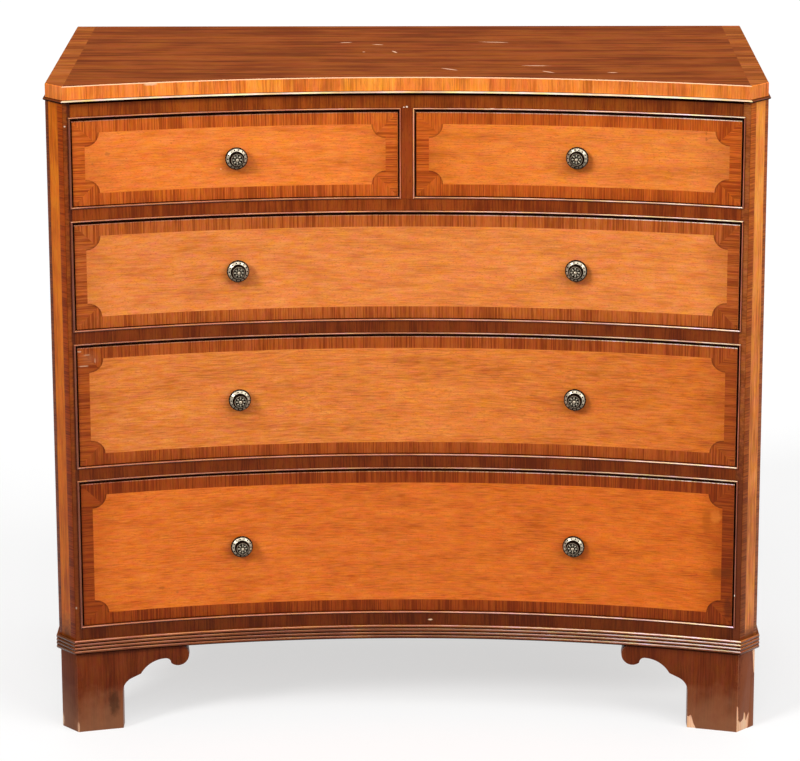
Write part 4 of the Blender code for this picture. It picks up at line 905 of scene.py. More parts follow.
class CHEST_OT_drawer_fronts(bpy.types.Operator):
    """Veneer of the drawer fronts: a notched field, crossbands and mitred corner pieces"""

    bl_idname = "chest.drawer_fronts"
    bl_label = "Drawer fronts"

    def execute(self, context):
        veneer = context.scene.chest_veneer
        depth = DRAWER_FACE - SEAT - veneer.thickness
        for index, name in enumerate(DRAWERS):
            low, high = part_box(f"{name}_drawer_front")
            left, right, below, above = BANDS[name]
            x = (low.x + LEFT_SHADE, low.x + left, high.x - right, high.x - RIGHT_RUB)
            z = (low.z, low.z + below, high.z - above, high.z - TOP_RUB - TOP_SHADE)
            ends = END_TONES.get(name, OTHER_ENDS)
            seed = index * NEXT_DRAWER
            work = self.lay(x, z, veneer.corner_radius, depth, seed, TINTS[name], LEAN[name], ends)
            slots = materials(FIGURE[name], "band", "shade_and_dirt")
            obj = add_object(f"{name}_drawer_veneer", work.mesh(name, closed=False), slots)
            thicken(obj, veneer.thickness)
            # The rounded edges of the sheet are painted dark, as the shade of the gap round the drawer
            soften(obj, veneer.arris * FRONT_ARRIS, slot=2)
            deliver(obj, f"{name}_drawer", "satinwood")
        return {"FINISHED"}

    @staticmethod
    def lay(x, z, radius, depth, seed, tints, lean, ends):
        """Field, bands and corners between the four x and the four z, on the bow at the depth."""
        work = Patchwork()
        turn = [math.radians(90 * k / NOTCH_STEPS) for k in range(NOTCH_STEPS + 1)]
        half_turn = NOTCH_STEPS // 2
        inner = stations(x[1] + radius, x[2] - radius)
        low, high = z[1] + radius, z[2] - radius

        def field_tone(u):
            gaps = (u - x[1], x[2] - u)
            near = max(max(0.0, 1.0 - gap / DARK_END) * end for gap, end in zip(gaps, ends))
            dark = [1.0 - share * near for share in END_FALL]
            return toned(toned(tints[0], between(lean, gaps[0] / (x[2] - x[1]))), dark)

        def patch(spots, upright, slot, at, tone=None):
            points = [(u, bow(u, depth), v) for u, v in spots]
            grains = [(v, u, seed + at) if upright else (u, v, seed + at) for u, v in spots]
            work.add(points, grains, slot, tone or tints[slot])

        def panel(a, b, v0, v1, *how):
            patch([(a, v0), (b, v0), (b, v1), (a, v1)], *how)

        notch_left = [(x[1] + radius * math.cos(a), radius * math.sin(a)) for a in reversed(turn)]
        notch_right = [(x[2] - radius * math.cos(a), radius * math.sin(a)) for a in turn]
        edge = notch_left + [(u, 0.0) for u in inner[1:-1]] + notch_right
        for (a, da), (b, db) in zip(edge, edge[1:]):
            spots = [(a, z[1] + da), (b, z[1] + db), (b, z[2] - db), (a, z[2] - da)]
            patch(spots, False, 0, FIELD, [field_tone(u) for u, _ in spots])
        for a, b in zip(inner, inner[1:]):
            panel(a, b, z[0], z[1], True, 1, BAND_BELOW)
            panel(a, b, z[2], z[3], True, 1, BAND_ABOVE)
        base = bpy.context.scene.chest_colours.crossband
        line = [x[0] - LEFT_SHADE, x[0], *inner, x[3], x[3] + RIGHT_RUB]
        rub = z[3] + TOP_RUB
        for a, b in zip(line, line[1:]):
            # Along the top: the rubbed arris with a painted highlight, then the painted shadow of the rail
            # above
            panel(a, b, z[3], rub, True, 1, BAND_ABOVE, wear_and_highlight(a, base, TOP_ARRIS_HIGHLIGHT))
            panel(a, b, rub, rub + TOP_SHADE, True, 2, BAND_ABOVE, EVEN)
        rise = (z[0], low, high, z[3])
        # Along the sides: the painted shadow at the left, and the right arris painted pale as a highlight
        bright = toned(tints[1], RIGHT_HIGHLIGHT)
        for a, b in zip(rise, rise[1:]):
            panel(line[0], line[1], a, b, False, 2, BAND_LEFT, EVEN)
            panel(line[-2], line[-1], a, b, False, 1, BAND_LEFT, bright)
        panel(x[0], x[1], low, high, False, 1, BAND_LEFT)
        panel(x[2], x[3], low, high, False, 1, BAND_RIGHT)
        corners = ((x[0], x[1], z[0], z[1], 1, 1), (x[3], x[2], z[0], z[1], -1, 1))
        corners += ((x[0], x[1], z[3], z[2], 1, -1), (x[3], x[2], z[3], z[2], -1, -1))
        dark = toned(tints[1], CONTOUR_TONE)
        for k, (xo, xi, zo, zi, across, up) in enumerate(corners):
            rim, curve = [[(xi + across * r * math.cos(a), zi + up * r * math.sin(a)) for a in turn]
                          for r in (radius, radius - CONTOUR)]
            level = [(xo, zo), (xi + across * radius, zo), rim[0], *curve[:half_turn + 1]]
            rising = [(xo, zo), *curve[half_turn:], rim[-1], (xo, zi + up * radius)]
            flip = -1 if across * up < 0 else 1
            level_at, rising_at = CORNER_LEVEL + NEXT_CORNER * k, CORNER_RISING + NEXT_CORNER * k
            patch(level[::flip], True, 1, level_at)
            patch(rising[::flip], False, 1, rising_at)
            for i in range(NOTCH_STEPS):
                spots = [curve[i], rim[i], rim[i + 1], curve[i + 1]]
                tones = [tints[1], dark, dark, tints[1]]
                first = i < half_turn
                patch(spots[::flip], first, 1, level_at if first else rising_at, tones[::flip])
        return work


# Tone of the sheets on the rails and on the upright: the rails darken towards the bottom, partly painted shade
# as the light falls off towards the floor and partly the wood's own tone
RAIL_TINTS = {
    "bottom_rail": (0.56, 0.42, 0.25), "lower_rail": (0.79, 0.59, 0.34), "middle_rail": (0.88, 0.68, 0.42),
    "upper_rail": (1.25, 0.95, 0.50), "top_rail": (1.34, 1.14, 0.48), "centre_muntin": (1.22, 0.86, 0.55),
}
TOP_RAIL_FALL = 0.16            # fall of the top rail's tone from the middle to the right
SHADOW_UNDER_BEAD = 0.0022             # painted shadow on the top rail under the bead
# Tones of the outer border, the pale stripe and the inner border of each canted corner, at its foot and at its
# head: the left one is painted darker as in shade, the right one paler as lit
CORNER_TINTS = {
    "left": (((0.39, 0.31, 0.16), (0.39, 0.31, 0.16)), ((0.63, 0.51, 0.10), (0.76, 0.66, 0.18)),
             ((0.48, 0.31, 0.09), (0.82, 0.55, 0.12))),
    "right": (((0.69, 0.83, 0.95), (0.94, 0.94, 0.45)), ((0.92, 1.08, 1.65), (0.97, 1.10, 1.00)),
              ((0.57, 0.57, 0.57), (1.21, 1.18, 0.65))),
}
NEXT_STRIPE = 0.7               # where the corners' sheets lie in the pattern of their wood, by hand
CORNER_ARRIS = 0.5              # rubbed edge of those sheets, in worn arrises


class CHEST_OT_carcass_veneers(bpy.types.Operator):
    """Cross veneer on the rails and the upright, and the striped veneer of the canted corners"""

    bl_idname = "chest.carcass_veneers"
    bl_label = "Carcass veneers"

    def execute(self, context):
        veneer = context.scene.chest_veneer
        tiers = [opening(name)[2:] for name in DRAWERS[:4]]
        edges = [PLINTH_TOP, *[z for low, high in tiers for z in (low - BEAD, high + BEAD)], CARCASS_HIGH.z]
        names = ("bottom_rail", "lower_rail", "middle_rail", "upper_rail", "top_rail")
        strips = {name: (-OPENING_X, OPENING_X, *edges[2 * k:2 * k + 2]) for k, name in enumerate(names)}
        muntin = -opening("short_left")[1] - BEAD
        under, over = strips["upper_rail"][3], strips["top_rail"][2]
        strips["centre_muntin"] = (-muntin, muntin, under + SEAT, over - SEAT)
        depth = FACE - SEAT - veneer.thickness
        for index, (name, (x0, x1, z0, z1)) in enumerate(strips.items()):
            work = Patchwork()
            line = stations(x0, x1)
            for a, b in zip(line, line[1:]):
                grains = [(v, u, index * NEXT_RAIL) for u, v in ((a, z0), (b, z0), (b, z1), (a, z1))]
                tint, rim = RAIL_TINTS[name], z1
                if name == "top_rail":
                    tint = [c * (1.0 - TOP_RAIL_FALL * a / ARRIS_X) for c in tint]
                    # A strip of painted shadow under the bead at the top of the rail
                    rim = z1 - SHADOW_UNDER_BEAD
                    shade_and_dirt = ((a, rim), (b, rim), (b, z1), (a, z1))
                    work.add([(u, bow(u, depth), v) for u, v in shade_and_dirt], grains, 1)
                spots = ((a, z0), (b, z0), (b, rim), (a, rim))
                work.add([(u, bow(u, depth), v) for u, v in spots], grains, 0, tint)
            obj = add_object(f"{name}_veneer", work.mesh(name, closed=False), materials("rail", "shade_and_dirt"))
            thicken(obj, veneer.thickness)
            deliver(obj, "carcass", "mahogany")
        for name, hand in (("left", -1), ("right", 1)):
            self.corner(name, hand, veneer)
        return {"FINISHED"}

    @staticmethod
    def corner(name, hand, veneer):
        """A sheet over a canted corner: dark, pale and dark from the side to the front."""
        start, run, width, out = canted_corner(hand)
        places = (0.0, veneer.outer_border, width - veneer.inner_border, width)
        work = Patchwork()
        line = [start + run * t + out * (SEAT + veneer.thickness) for t in places]
        heights = (PLINTH_TOP, CARCASS_HIGH.z)
        seed = hand * NEXT_STRIPE
        for k in range(3):
            spots = [(k, heights[0]), (k + 1, heights[0]), (k + 1, heights[1]), (k, heights[1])]
            if hand > 0:
                spots.reverse()
            points = [(line[i].x, line[i].y, v) for i, v in spots]
            grains = [(v, places[i], seed) if k == 1 else (places[i], v, seed) for i, v in spots]
            tones = [CORNER_TINTS[name][k][heights.index(v)] for _, v in spots]
            work.add(points, grains, 0 if k == 1 else 1, tones)
        obj = add_object(f"{name}_corner_veneer", work.mesh(name, closed=False), materials("edge", "band"))
        thicken(obj, veneer.thickness)
        soften(obj, veneer.arris * CORNER_ARRIS)
        deliver(obj, "carcass", "mahogany")


BEAD_STEPS = 8                  # facets of a half round
# Facets of each run of a cockbead that catch the light, painted pale as a highlight over rubbed polish, and how
# bright that is
CRESTS = {"top": (2, 3, 4), "right": (4,), "bottom": (5, 6, 7), "left": (7, 8)}
CREST_HIGHLIGHT = {"top": 1.15, "bottom": 1.0, "left": 0.55}
# What is different on some drawers: the beads by the upright get a painted highlight, and the lowest two a
# weaker one
OTHER_CRESTS = {"short_left": {"right": (2, 3, 4)}, "short_right": {"left": (2, 3, 4)}}
OTHER_CREST_HIGHLIGHT = {"bottom": {"top": 0.85}, "third": {"top": 0.85}, "short_right": {"left": 1.5}}
# Tones of the painted highlight on the right run, and the bottom drawer's weaker one
RIGHT_CREST, LOW_RIGHT_CREST = (4.0, 5.0, 7.5), (2.4, 3.0, 4.5)
BEAD_SHADE_FROM = 6                  # first facet painted dark as shade, at the top and the right
TOP_BEAD_BACK = 0.016           # how far the bead under the top reaches in
REEDS = 4
REED_CRESTS = (3, 4)            # facets of a reed that keep their colour, between dark ones and ones with rubbed polish and a painted highlight
REED_SHADE_AND_DIRT = (0, 1, 2, 7)        # facets painted dark along the bow: dirt in the grooves and painted shade under each reed
SIDE_LOW, SIDE_HIGH = (0.6, 0.6, 0.6), (1.5, 1.8, 2.4)      # tones of a reed's lower and upper part elsewhere: painted shade below, painted light above
SIDE_PALE, RIGHT_CANT_PALE = 0.8, 1.4   # how pale those are, and on the right canted corner, painted paler as lit
UPPER_REED, LOWER_REEDS, REED_RISE = 0.85, 0.52, 0.22       # strength of the rubbed polish and painted highlight on the upper reed and the lower ones, and its rise to the ends


class CHEST_OT_mouldings(bpy.types.Operator):
    """Cockbeads round the drawers, the bead under the top and the reeded moulding round the base"""

    bl_idname = "chest.mouldings"
    bl_label = "Mouldings"

    def execute(self, context):
        for name in DRAWERS:
            self.cockbead(name)
        self.top_bead()
        self.plinth()
        return {"FINISHED"}

    @staticmethod
    def cockbead(name):
        x0, x1, z0, z1 = opening(name)
        edge = BEAD - SEAT
        half = edge / 2
        back = BEAD_REBATE - SEAT
        section = [(0.0, back), *arc(half, half - BEAD_PROUD, half, 180, 360, BEAD_STEPS), (edge, back)]
        line = stations(x0, x1)[1:-1]
        path = [(x, z1 + edge, 0, -1) for x in line]
        path += [(x1 + edge, z1 + edge, -1, -1), (x1 + edge, z0 - edge, -1, 1)]
        path += [(x, z0 - edge, 0, 1) for x in reversed(line)]
        path += [(x0 - edge, z0 - edge, 1, 1), (x0 - edge, z1 + edge, 1, -1)]
        rings = []
        for x, z, across, up in path:
            spots = [(x + across * u, z + up * u, d) for u, d in section]
            rings.append([(px, bow(px, FACE + d), pz) for px, pz, d in spots])
        base = bpy.context.scene.chest_colours.bead
        runs = ["top"] * len(line) + ["right"] + ["bottom"] * (len(line) + 1) + ["left", "top"]
        crests = {**CRESTS, **OTHER_CRESTS.get(name, {})}
        # How bright the painted highlight on each run's crest is
        polish = {**CREST_HIGHLIGHT, **OTHER_CREST_HIGHLIGHT.get(name, {})}

        def tone(i, k, x):
            if k not in crests[runs[i]]:
                return EVEN
            if runs[i] == "right":
                return LOW_RIGHT_CREST if name == "bottom" else RIGHT_CREST
            return wear_and_highlight(x, base, polish[runs[i]])

        # Painted shade on the lower half of the top run and the inner flank of the right run, in the gap's
        # shadow
        def shade_and_dirt_slot(i, k):
            return 1 if runs[i] in ("top", "right") and k >= BEAD_SHADE_FROM else 0

        work = loft(rings, closed=True, slot_of=shade_and_dirt_slot, tint_of=tone)
        obj = add_object(f"{name}_rounded_bead", work.mesh(name), materials("bead", "shade_and_dirt"))
        deliver(obj, "carcass", "bead", f"{name}_cockbead")

    @staticmethod
    def top_bead():
        z0 = CARCASS_HIGH.z + SEAT
        z1 = TOP_LOW.z - SEAT
        half = (z1 - z0) / 2
        bead = arc(0.0, z0 + half, half, -90, 90, BEAD_STEPS)
        section = [(TOP_BEAD_PROUD - half + out, z) for out, z in bead]
        section += [(-TOP_BEAD_BACK, z1), (-TOP_BEAD_BACK, z0)]
        path = front_path(0.0)

        # The lower half of the bead is painted dark, as the shade under it
        def finish(i, k):
            if k < BEAD_STEPS // 2:
                return 2
            return 1 if 2 <= i < len(path) - 3 else 0

        work = swept(path, section, seed=0.3, slot_of=finish)
        obj = add_object("rounded_top_bead", work.mesh("top_bead"), materials("moulding", "boxwood", "shade_and_dirt"))
        deliver(obj, "carcass", "boxwood", "top_bead_moulding")

    @staticmethod
    def plinth():
        reed = (PLINTH_TOP - FOOT_TOP) / REEDS
        section = []
        for k in range(REEDS):
            middle = FOOT_TOP + reed * (k + 0.5)
            for out, up in arc(0.0, 0.0, 1.0, -90, 90, BEAD_STEPS):
                if k == 0 or up > -1:
                    section.append((PLINTH_PROUD - REED_RELIEF * (1 - out), middle + up * reed / 2))
        facets = REEDS * BEAD_STEPS
        path = front_path(FACE)
        bowed = range(2, len(path) - 3)
        base = toned(bpy.context.scene.chest_colours.mahogany, MOULDING_TONE)

        # Painted shade below and light above on the reeds off the bow; along the bow, rubbed polish with a
        # painted highlight
        def tone(i, k, x):
            part = k % BEAD_STEPS
            if k >= facets or part in REED_CRESTS:
                return EVEN
            if i not in bowed:
                pale = RIGHT_CANT_PALE if i == bowed.stop else SIDE_PALE
                return [c * pale for c in (SIDE_LOW if part < REED_CRESTS[0] else SIDE_HIGH)]
            upper = k >= facets - BEAD_STEPS
            return wear_and_highlight(x, base, (UPPER_REED if upper else LOWER_REEDS) + REED_RISE * abs(x) / ARRIS_X)

        # Dirt in the grooves and painted shade under the reeds, along the bow
        def shade_and_dirt_slot(i, k):
            return 1 if k < facets and i in bowed and k % BEAD_STEPS in REED_SHADE_AND_DIRT else 0

        section += [(SEAT, PLINTH_TOP), (SEAT, FOOT_TOP)]
        work = swept(path, section, seed=0.9, slot_of=shade_and_dirt_slot, tint_of=tone)
        obj = add_object("reeded_plinth", work.mesh("plinth"), materials("moulding", "shade_and_dirt"))
        deliver(obj, "carcass", "mahogany", "plinth_moulding", sharp=50.0)


# Outline of a bracket foot from its corner: the leg, a step up to a cove, a sloped shelf, an arch, a hook and a
# scroll. Lengths and radii in metres, turns in degrees.
LEGS = {"left": 0.058, "right": 0.065}
SIDE_LEG = 0.044
STEP_HEIGHT = 0.050
COVE, COVE_TURN = 0.020, 67
SHELF = 0.0128
ARCH, ARCH_TURN = 0.0373, 60
HOOK = 0.007
SCROLL, SCROLL_ANGLES = 0.0138, (226, 420)
COVE_STEPS, ARCH_STEPS, HOOK_STEPS, SCROLL_STEPS = 12, 14, 8, 28    # facets of each
BACK_ARM = 0.100                # length of the plain arm of a back foot
BACK_LEG = 0.045
BACK_LIP = 0.020                # height of the arm at its end
REACH = 0.005                   # how far a cutter stands out of the wood
CHIP_DEPTH = 0.0009

# Chips in the veneer of the right front foot, as (distance, height) from its corner in metres
LEG_CHIP = ((0.070, -0.004), (0.0535, -0.004), (0.0540, 0.001), (0.0568, 0.007), (0.0598, 0.0175),
            (0.0612, 0.0182), (0.0630, 0.0160), (0.070, 0.0165))
CANT_CHIP = ((0.040, -0.004), (0.040, 0.041), (0.0350, 0.0345), (0.0336, 0.0168), (0.0288, 0.0121),
             (0.0225, 0.0157), (0.0212, 0.0249), (0.0184, 0.0225), (0.0168, 0.0124), (0.0114, 0.0223),
             (0.0101, 0.0212), (0.0120, 0.004), (0.0150, -0.004))
EDGE_CHIP = ((-0.002, 0.112), (0.0060, 0.112), (0.0042, 0.097), (0.0020, 0.075), (-0.002, 0.072))


class CHEST_OT_feet(bpy.types.Operator):
    """Bracket feet with scrolled fronts, rubbed edges and chips"""

    bl_idname = "chest.feet"
    bl_label = "Feet"

    def execute(self, context):
        arris = context.scene.chest_veneer.arris
        for name, hand in (("left", -1), ("right", 1)):
            self.front(name, hand, arris)
            self.back(name, hand, arris)
        return {"FINISHED"}

    @staticmethod
    def profile(leg):
        """Wood taken away under a bracket as (distance from its corner, z), and the bracket's reach."""
        points = [(leg, -REACH), *arc(leg + COVE, STEP_HEIGHT, COVE, 180, 180 - COVE_TURN, COVE_STEPS)]
        slope, turn = math.radians(90 - COVE_TURN), math.radians(ARCH_TURN)
        cusp_x, cusp_z = points[-1][0] + SHELF * math.cos(slope), points[-1][1] + SHELF * math.sin(slope)
        arch_x, arch_z = cusp_x + ARCH * math.sin(turn), cusp_z - ARCH * math.cos(turn)
        points += arc(arch_x, arch_z, ARCH, 90 + ARCH_TURN, 90, ARCH_STEPS)
        points += arc(arch_x, points[-1][1] - HOOK, HOOK, 90, 0, HOOK_STEPS)[1:]
        corner = math.radians(SCROLL_ANGLES[0])
        scroll_x = points[-1][0] - SCROLL * math.cos(corner)
        scroll_z = points[-1][1] - SCROLL * math.sin(corner)
        points += arc(scroll_x, scroll_z, SCROLL, *SCROLL_ANGLES, SCROLL_STEPS)[1:]
        reach = scroll_x + SCROLL
        over, past = FOOT_TOP + REACH, reach + REACH
        return points + [(points[-1][0], over), (past, over), (past, -REACH)], reach

    @staticmethod
    def bracket(name, mesh_name, hand, path):
        """A bracket along a plan path, before it is cut. The path is that of the right foot."""
        inner, high = -FOOT_INSET - FOOT_THICKNESS, FOOT_TOP - SEAT
        section = [(-FOOT_INSET, 0.0), (-FOOT_INSET, high), (inner, high), (inner, 0.0)]
        if hand < 0:
            path = [(-x, y) for x, y in reversed(path)]
        return add_object(name, swept(path, section).mesh(mesh_name), materials("foot", "rubbed"))

    @staticmethod
    def cut(obj, rings, key="foot"):
        """Takes a lofted shape out of a foot. The key names the material that the cut lays bare."""
        tool = add_object("cutter", loft(rings).mesh("cutter"), materials(key))
        modifier = obj.modifiers.new("Cut", "BOOLEAN")
        modifier.object = tool
        modifier.solver = "EXACT"
        modifier.material_mode = "TRANSFER"
        return tool

    @staticmethod
    def finish(obj, tools, arris, node_name):
        settle(obj)
        for tool in tools:
            bpy.data.meshes.remove(tool.data)
        # Rounded edges in tan: rubbed polish with a painted highlight
        soften(obj, arris, slot=1, angle=40.0)
        deliver(obj, "carcass", "mahogany", node_name, sharp=30.0)

    @classmethod
    def front(cls, name, hand, arris):
        front_cut, front_reach = cls.profile(LEGS[name])
        side_cut, side_reach = cls.profile(SIDE_LEG)
        x_end = ARRIS_X - front_reach - REACH / 2
        path = bow_line(x_end, ARRIS_X, FACE)
        path += [(HALF, SIDE_CORNER_Y), (HALF, SIDE_CORNER_Y + side_reach + REACH / 2)]
        obj = cls.bracket(f"{name}_front_bracket", name, hand, path)
        across = (FRONT_Y - REACH, bow(x_end, FACE) + FOOT_THICKNESS + FOOT_INSET + REACH)
        side = (HALF - FOOT_INSET - FOOT_THICKNESS - REACH, HALF + REACH)
        tools = [
            cls.cut(obj, [[(hand * (ARRIS_X - u), y, z) for u, z in front_cut] for y in across]),
            cls.cut(obj, [[(hand * x, SIDE_CORNER_Y + v, z) for v, z in side_cut] for x in side]),
        ]
        if hand > 0:
            tools += cls.chips(obj)
        cls.finish(obj, tools, arris, f"front_{name}_foot")

    @classmethod
    def chips(cls, obj):
        """Places where the veneer has broken away from the right foot."""
        start, run, _, out = canted_corner(1)
        depths = (FOOT_INSET - REACH, FOOT_INSET + CHIP_DEPTH)
        leg = [[(ARRIS_X - u, bow(ARRIS_X - u, FACE + d), z) for u, z in LEG_CHIP] for d in depths]
        shapes = [leg]
        for chip in (CANT_CHIP, EDGE_CHIP):
            shapes.append([[(*(start + run * t - out * d), z) for t, z in chip] for d in depths])
        return [cls.cut(obj, rings, "bare") for rings in shapes]

    @classmethod
    def back(cls, name, hand, arris):
        side_cut, side_reach = cls.profile(SIDE_LEG)
        path = [(HALF, BACK_Y - side_reach - REACH / 2), (HALF, BACK_Y), (HALF - BACK_ARM, BACK_Y)]
        obj = cls.bracket(f"{name}_back_bracket", name, hand, path)
        lip, past = FOOT_TOP - BACK_LIP, BACK_ARM + REACH
        arm = [(BACK_LEG, -REACH), (BACK_LEG, lip / 2), (BACK_ARM, lip), (past, lip), (past, -REACH)]
        inner = FOOT_INSET + FOOT_THICKNESS + REACH
        side, across = (HALF - inner, HALF + REACH), (BACK_Y - inner, BACK_Y + REACH)
        tools = [
            cls.cut(obj, [[(hand * x, BACK_Y - v, z) for v, z in side_cut] for x in side]),
            cls.cut(obj, [[(hand * (HALF - u), y, z) for u, z in arm] for y in across]),
        ]
        cls.finish(obj, tools, arris, f"back_{name}_foot")


# Half section of a knob from its tip to its stud: radius and height off the drawer in mm, and patina
KNOB = (
    (0.0, 20.5, 0.0), (1.3, 20.2, 0.0), (2.0, 19.5, 0.1), (2.3, 18.9, 0.8), (2.5, 18.3, 1.0), (2.9, 18.0, 1.10),
    (4.8, 17.9, 1.05), (6.2, 18.0, 1.05), (6.7, 18.15, 1.2), (7.05, 18.4, 0.8), (7.5, 18.4, 0.70),
    (7.85, 18.1, 0.65), (8.0, 17.6, 0.9), (7.95, 17.0, 1.1), (7.6, 16.2, 1.2), (7.3, 15.2, 1.2),
    (7.2, 14.0, 1.2), (7.4, 13.0, 1.2), (8.2, 12.7, 1.2), (9.2, 12.4, 1.2), (9.8, 12.1, 1.2), (10.1, 11.9, 0.2),
    (11.4, 11.15, 0.0), (12.6, 10.35, 0.0), (13.1, 10.0, 0.5), (13.4, 9.5, 1.2), (13.4, 8.7, 1.2),
    (13.8, 8.2, 1.2), (14.3, 7.9, 1.1), (14.55, 7.5, 1.1), (14.3, 7.1, 1.1), (13.6, 6.9, 1.0),
    (12.0, 6.5, 1.0), (10.0, 5.9, 1.0), (7.8, 5.0, 1.0), (6.3, 4.0, 1.0), (5.4, 3.1, 1.0), (5.2, 2.4, 0.9),
    (6.2, 2.0, 0.6), (7.4, 1.7, 0.4), (8.0, 1.2, 0.5), (8.0, 0.3, 0.9),
)
MM = 1000
# Patina of the stud where it leaves the knob and further in
STUD_START, STUD_END = 0.9, 0.3
# The rim, beyond this radius in mm, is painted darker towards its underside, as shade
RIM_FROM, RIM_UNDER_SHADE = 9.5, 0.75
# Rings of ornament: radius, half sizes of one bead or petal, height and patina
RINGS = {
    "Rim beads": (0.0136, (0.0009, 0.0010, 0.0009), 0.0088, 0.95),
    "Rim dots": (0.0115, (0.0011, 0.0010, 0.0006), 0.0112, 1.2),
    "Face beads": (0.0073, (0.0005, 0.0005, 0.0004), 0.0184, 0.55),
    "Petals": (0.0046, (0.0018, 0.0010, 0.0006), 0.0179, 0.25),
}
# Washer and nut inside the drawer: sides, radius, thickness and height behind its front
INSIDE = ((24, 0.0065, 0.0012, -0.0009), (6, 0.0048, 0.0038, -0.0034))


class CHEST_OT_knobs(bpy.types.Operator):
    """Turned brass knobs with a beaded rim and a rosette, each on its stud with a washer and a nut"""

    bl_idname = "chest.knobs"
    bl_label = "Knobs"

    def execute(self, context):
        knobs = context.scene.chest_knobs
        master = add_object("knob", self.turned(knobs.steps))
        self.ornament(master, {"Rim beads": knobs.rim_beads, "Rim dots": knobs.rim_dots,
                               "Face beads": knobs.face_beads, "Petals": knobs.petals})
        settle(master)
        for name in DRAWERS:
            seats = knob_seats(name)
            for x, z in seats:
                side = "" if len(seats) == 1 else ("left_" if x < 0 else "right_")
                mesh = master.data.copy()
                turn = Euler((math.pi / 2, 0.0, -math.asin(x / (BOW_RADIUS + DRAWER_FACE))))
                seat = Vector((x, bow(x, DRAWER_FACE), z))
                mesh.transform(Matrix.LocRotScale(seat, turn, None))
                knob = add_object(f"{name}_{side}brass_knob", mesh)
                deliver(knob, f"{name}_drawer", "brass", f"{name}_drawer_{side}knob", sharp=60.0)
        bpy.data.objects.remove(master)
        return {"FINISHED"}

    @staticmethod
    def turned(steps):
        """The plain turning about Z, with its stud."""
        stud = STUD_RADIUS * MM
        head, tail = KNOB[-1][1], -(DRAWER_FRONT + STUD_TAIL) * MM
        profile = KNOB + ((stud, head, STUD_START), (stud, tail, STUD_END), (0.0, tail, STUD_END))
        bm = bmesh.new()
        patina = bm.verts.layers.float.new("patina")
        rings = []
        for radius, height, dull in profile:
            spots = [(0.0, 0.0)] if radius == 0 else arc(0.0, 0.0, radius / MM, 0, 360, steps)[:-1]
            ring = [bm.verts.new((x, y, height / MM)) for x, y in spots]
            for vert in ring:
                # Painted shade on the rim's underside, added to its patina
                low = max(0.0, -vert.co.y * MM / radius) if radius > RIM_FROM else 0.0
                vert[patina] = dull + RIM_UNDER_SHADE * low
            rings.append(ring)
        for a, b in zip(rings, rings[1:]):
            for k in range(steps):
                j = (k + 1) % steps
                corners = [a[k % len(a)], a[j % len(a)], b[j % len(b)], b[k % len(b)]]
                bm.faces.new(list(dict.fromkeys(corners)))
        bmesh.ops.recalc_face_normals(bm, faces=bm.faces)
        mesh = bpy.data.meshes.new("knob")
        bm.to_mesh(mesh)
        bm.free()
        return mesh

    @staticmethod
    def ornament(obj, counts):
        """Geometry Nodes that set beads, petals, a washer and a nut on the turning."""
        inputs = {**dict.fromkeys(RINGS, "Int"), "Brass": "Material"}
        tree, given, sockets = start_group("Knob ornament", inputs)
        made = [given["Geometry"]]
        for label, (radius, size, height, dull) in RINGS.items():
            circle = node(tree, "GeometryNodeMeshCircle", {"Vertices": given[label], "Radius": radius})
            ball = node(tree, "GeometryNodeMeshUVSphere", {"Segments": 10, "Rings": 6, "Radius": 1.0})
            ball = node(tree, "GeometryNodeStoreNamedAttribute", {
                "Geometry": ball.outputs["Mesh"], "Name": "patina", "Value": dull})
            place = node(tree, "GeometryNodeInputPosition")
            turn = node(tree, "FunctionNodeAlignRotationToVector", {"Vector": place.outputs[0]}, axis="X")
            spread = node(tree, "GeometryNodeInstanceOnPoints", {
                "Points": circle.outputs[0], "Instance": ball.outputs[0], "Rotation": turn.outputs[0],
                "Scale": size})
            raised = node(tree, "GeometryNodeTransform", {
                "Geometry": spread.outputs[0], "Translation": (0.0, 0.0, height)})
            made.append(raised.outputs[0])
        for sides, radius, depth, height in INSIDE:
            disc = node(tree, "GeometryNodeMeshCylinder", {"Vertices": sides, "Radius": radius, "Depth": depth})
            inside = node(tree, "GeometryNodeTransform", {
                "Geometry": disc.outputs[0], "Translation": (0.0, 0.0, height - DRAWER_FRONT)})
            made.append(inside.outputs[0])
        joined = node(tree, "GeometryNodeJoinGeometry")
        for part in reversed(made):
            tree.links.new(part, joined.inputs[0])
        values = {sockets[label]: count for label, count in counts.items()}
        values[sockets["Brass"]] = materials("brass")[0]
        use_group(obj, tree, joined.outputs[0], given["Brass"], values)


class CHEST_OT_carcass(bpy.types.Operator):
    """Finishes of the solids that stay: sides, stiles, rails, frames and drawer boxes"""

    bl_idname = "chest.carcass"
    bl_label = "Carcass and drawer boxes"

    def execute(self, context):
        for name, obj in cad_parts.items():
            key = self.finish_of(name)
            if key:
                obj.material_slots[0].material = materials(key)[0]
        return {"FINISHED"}

    @staticmethod
    def finish_of(name):
        """Short name of the finish for a solid, or None for one that a new piece replaces."""
        if name.endswith(("_side", "_stile")):
            if "drawer" in name:
                return "pine_y"
            # The left stile gets the finish painted as in shade, the right one the finish painted lighter as
            # lit
            return "upright" if "side" in name else ("lit_stile" if "right" in name else "shaded")
        if name.endswith("_rail") or name == "centre_muntin":
            return "level"
        if name.endswith("_drawer_front"):
            return "core"
        if name == "back_panel":
            return "pine_z"
        if name.endswith(("board", "_back", "_bottom")) and name != "top_board":
            return "pine_x"
        return None


PIN_INSET, PIN_SPACING = 0.008, 0.11    # pins from the panel's edge and from each other
PIN_RADIUS, PIN_HEAD, PIN_SUNK = 0.0022, 0.0004, 0.00019


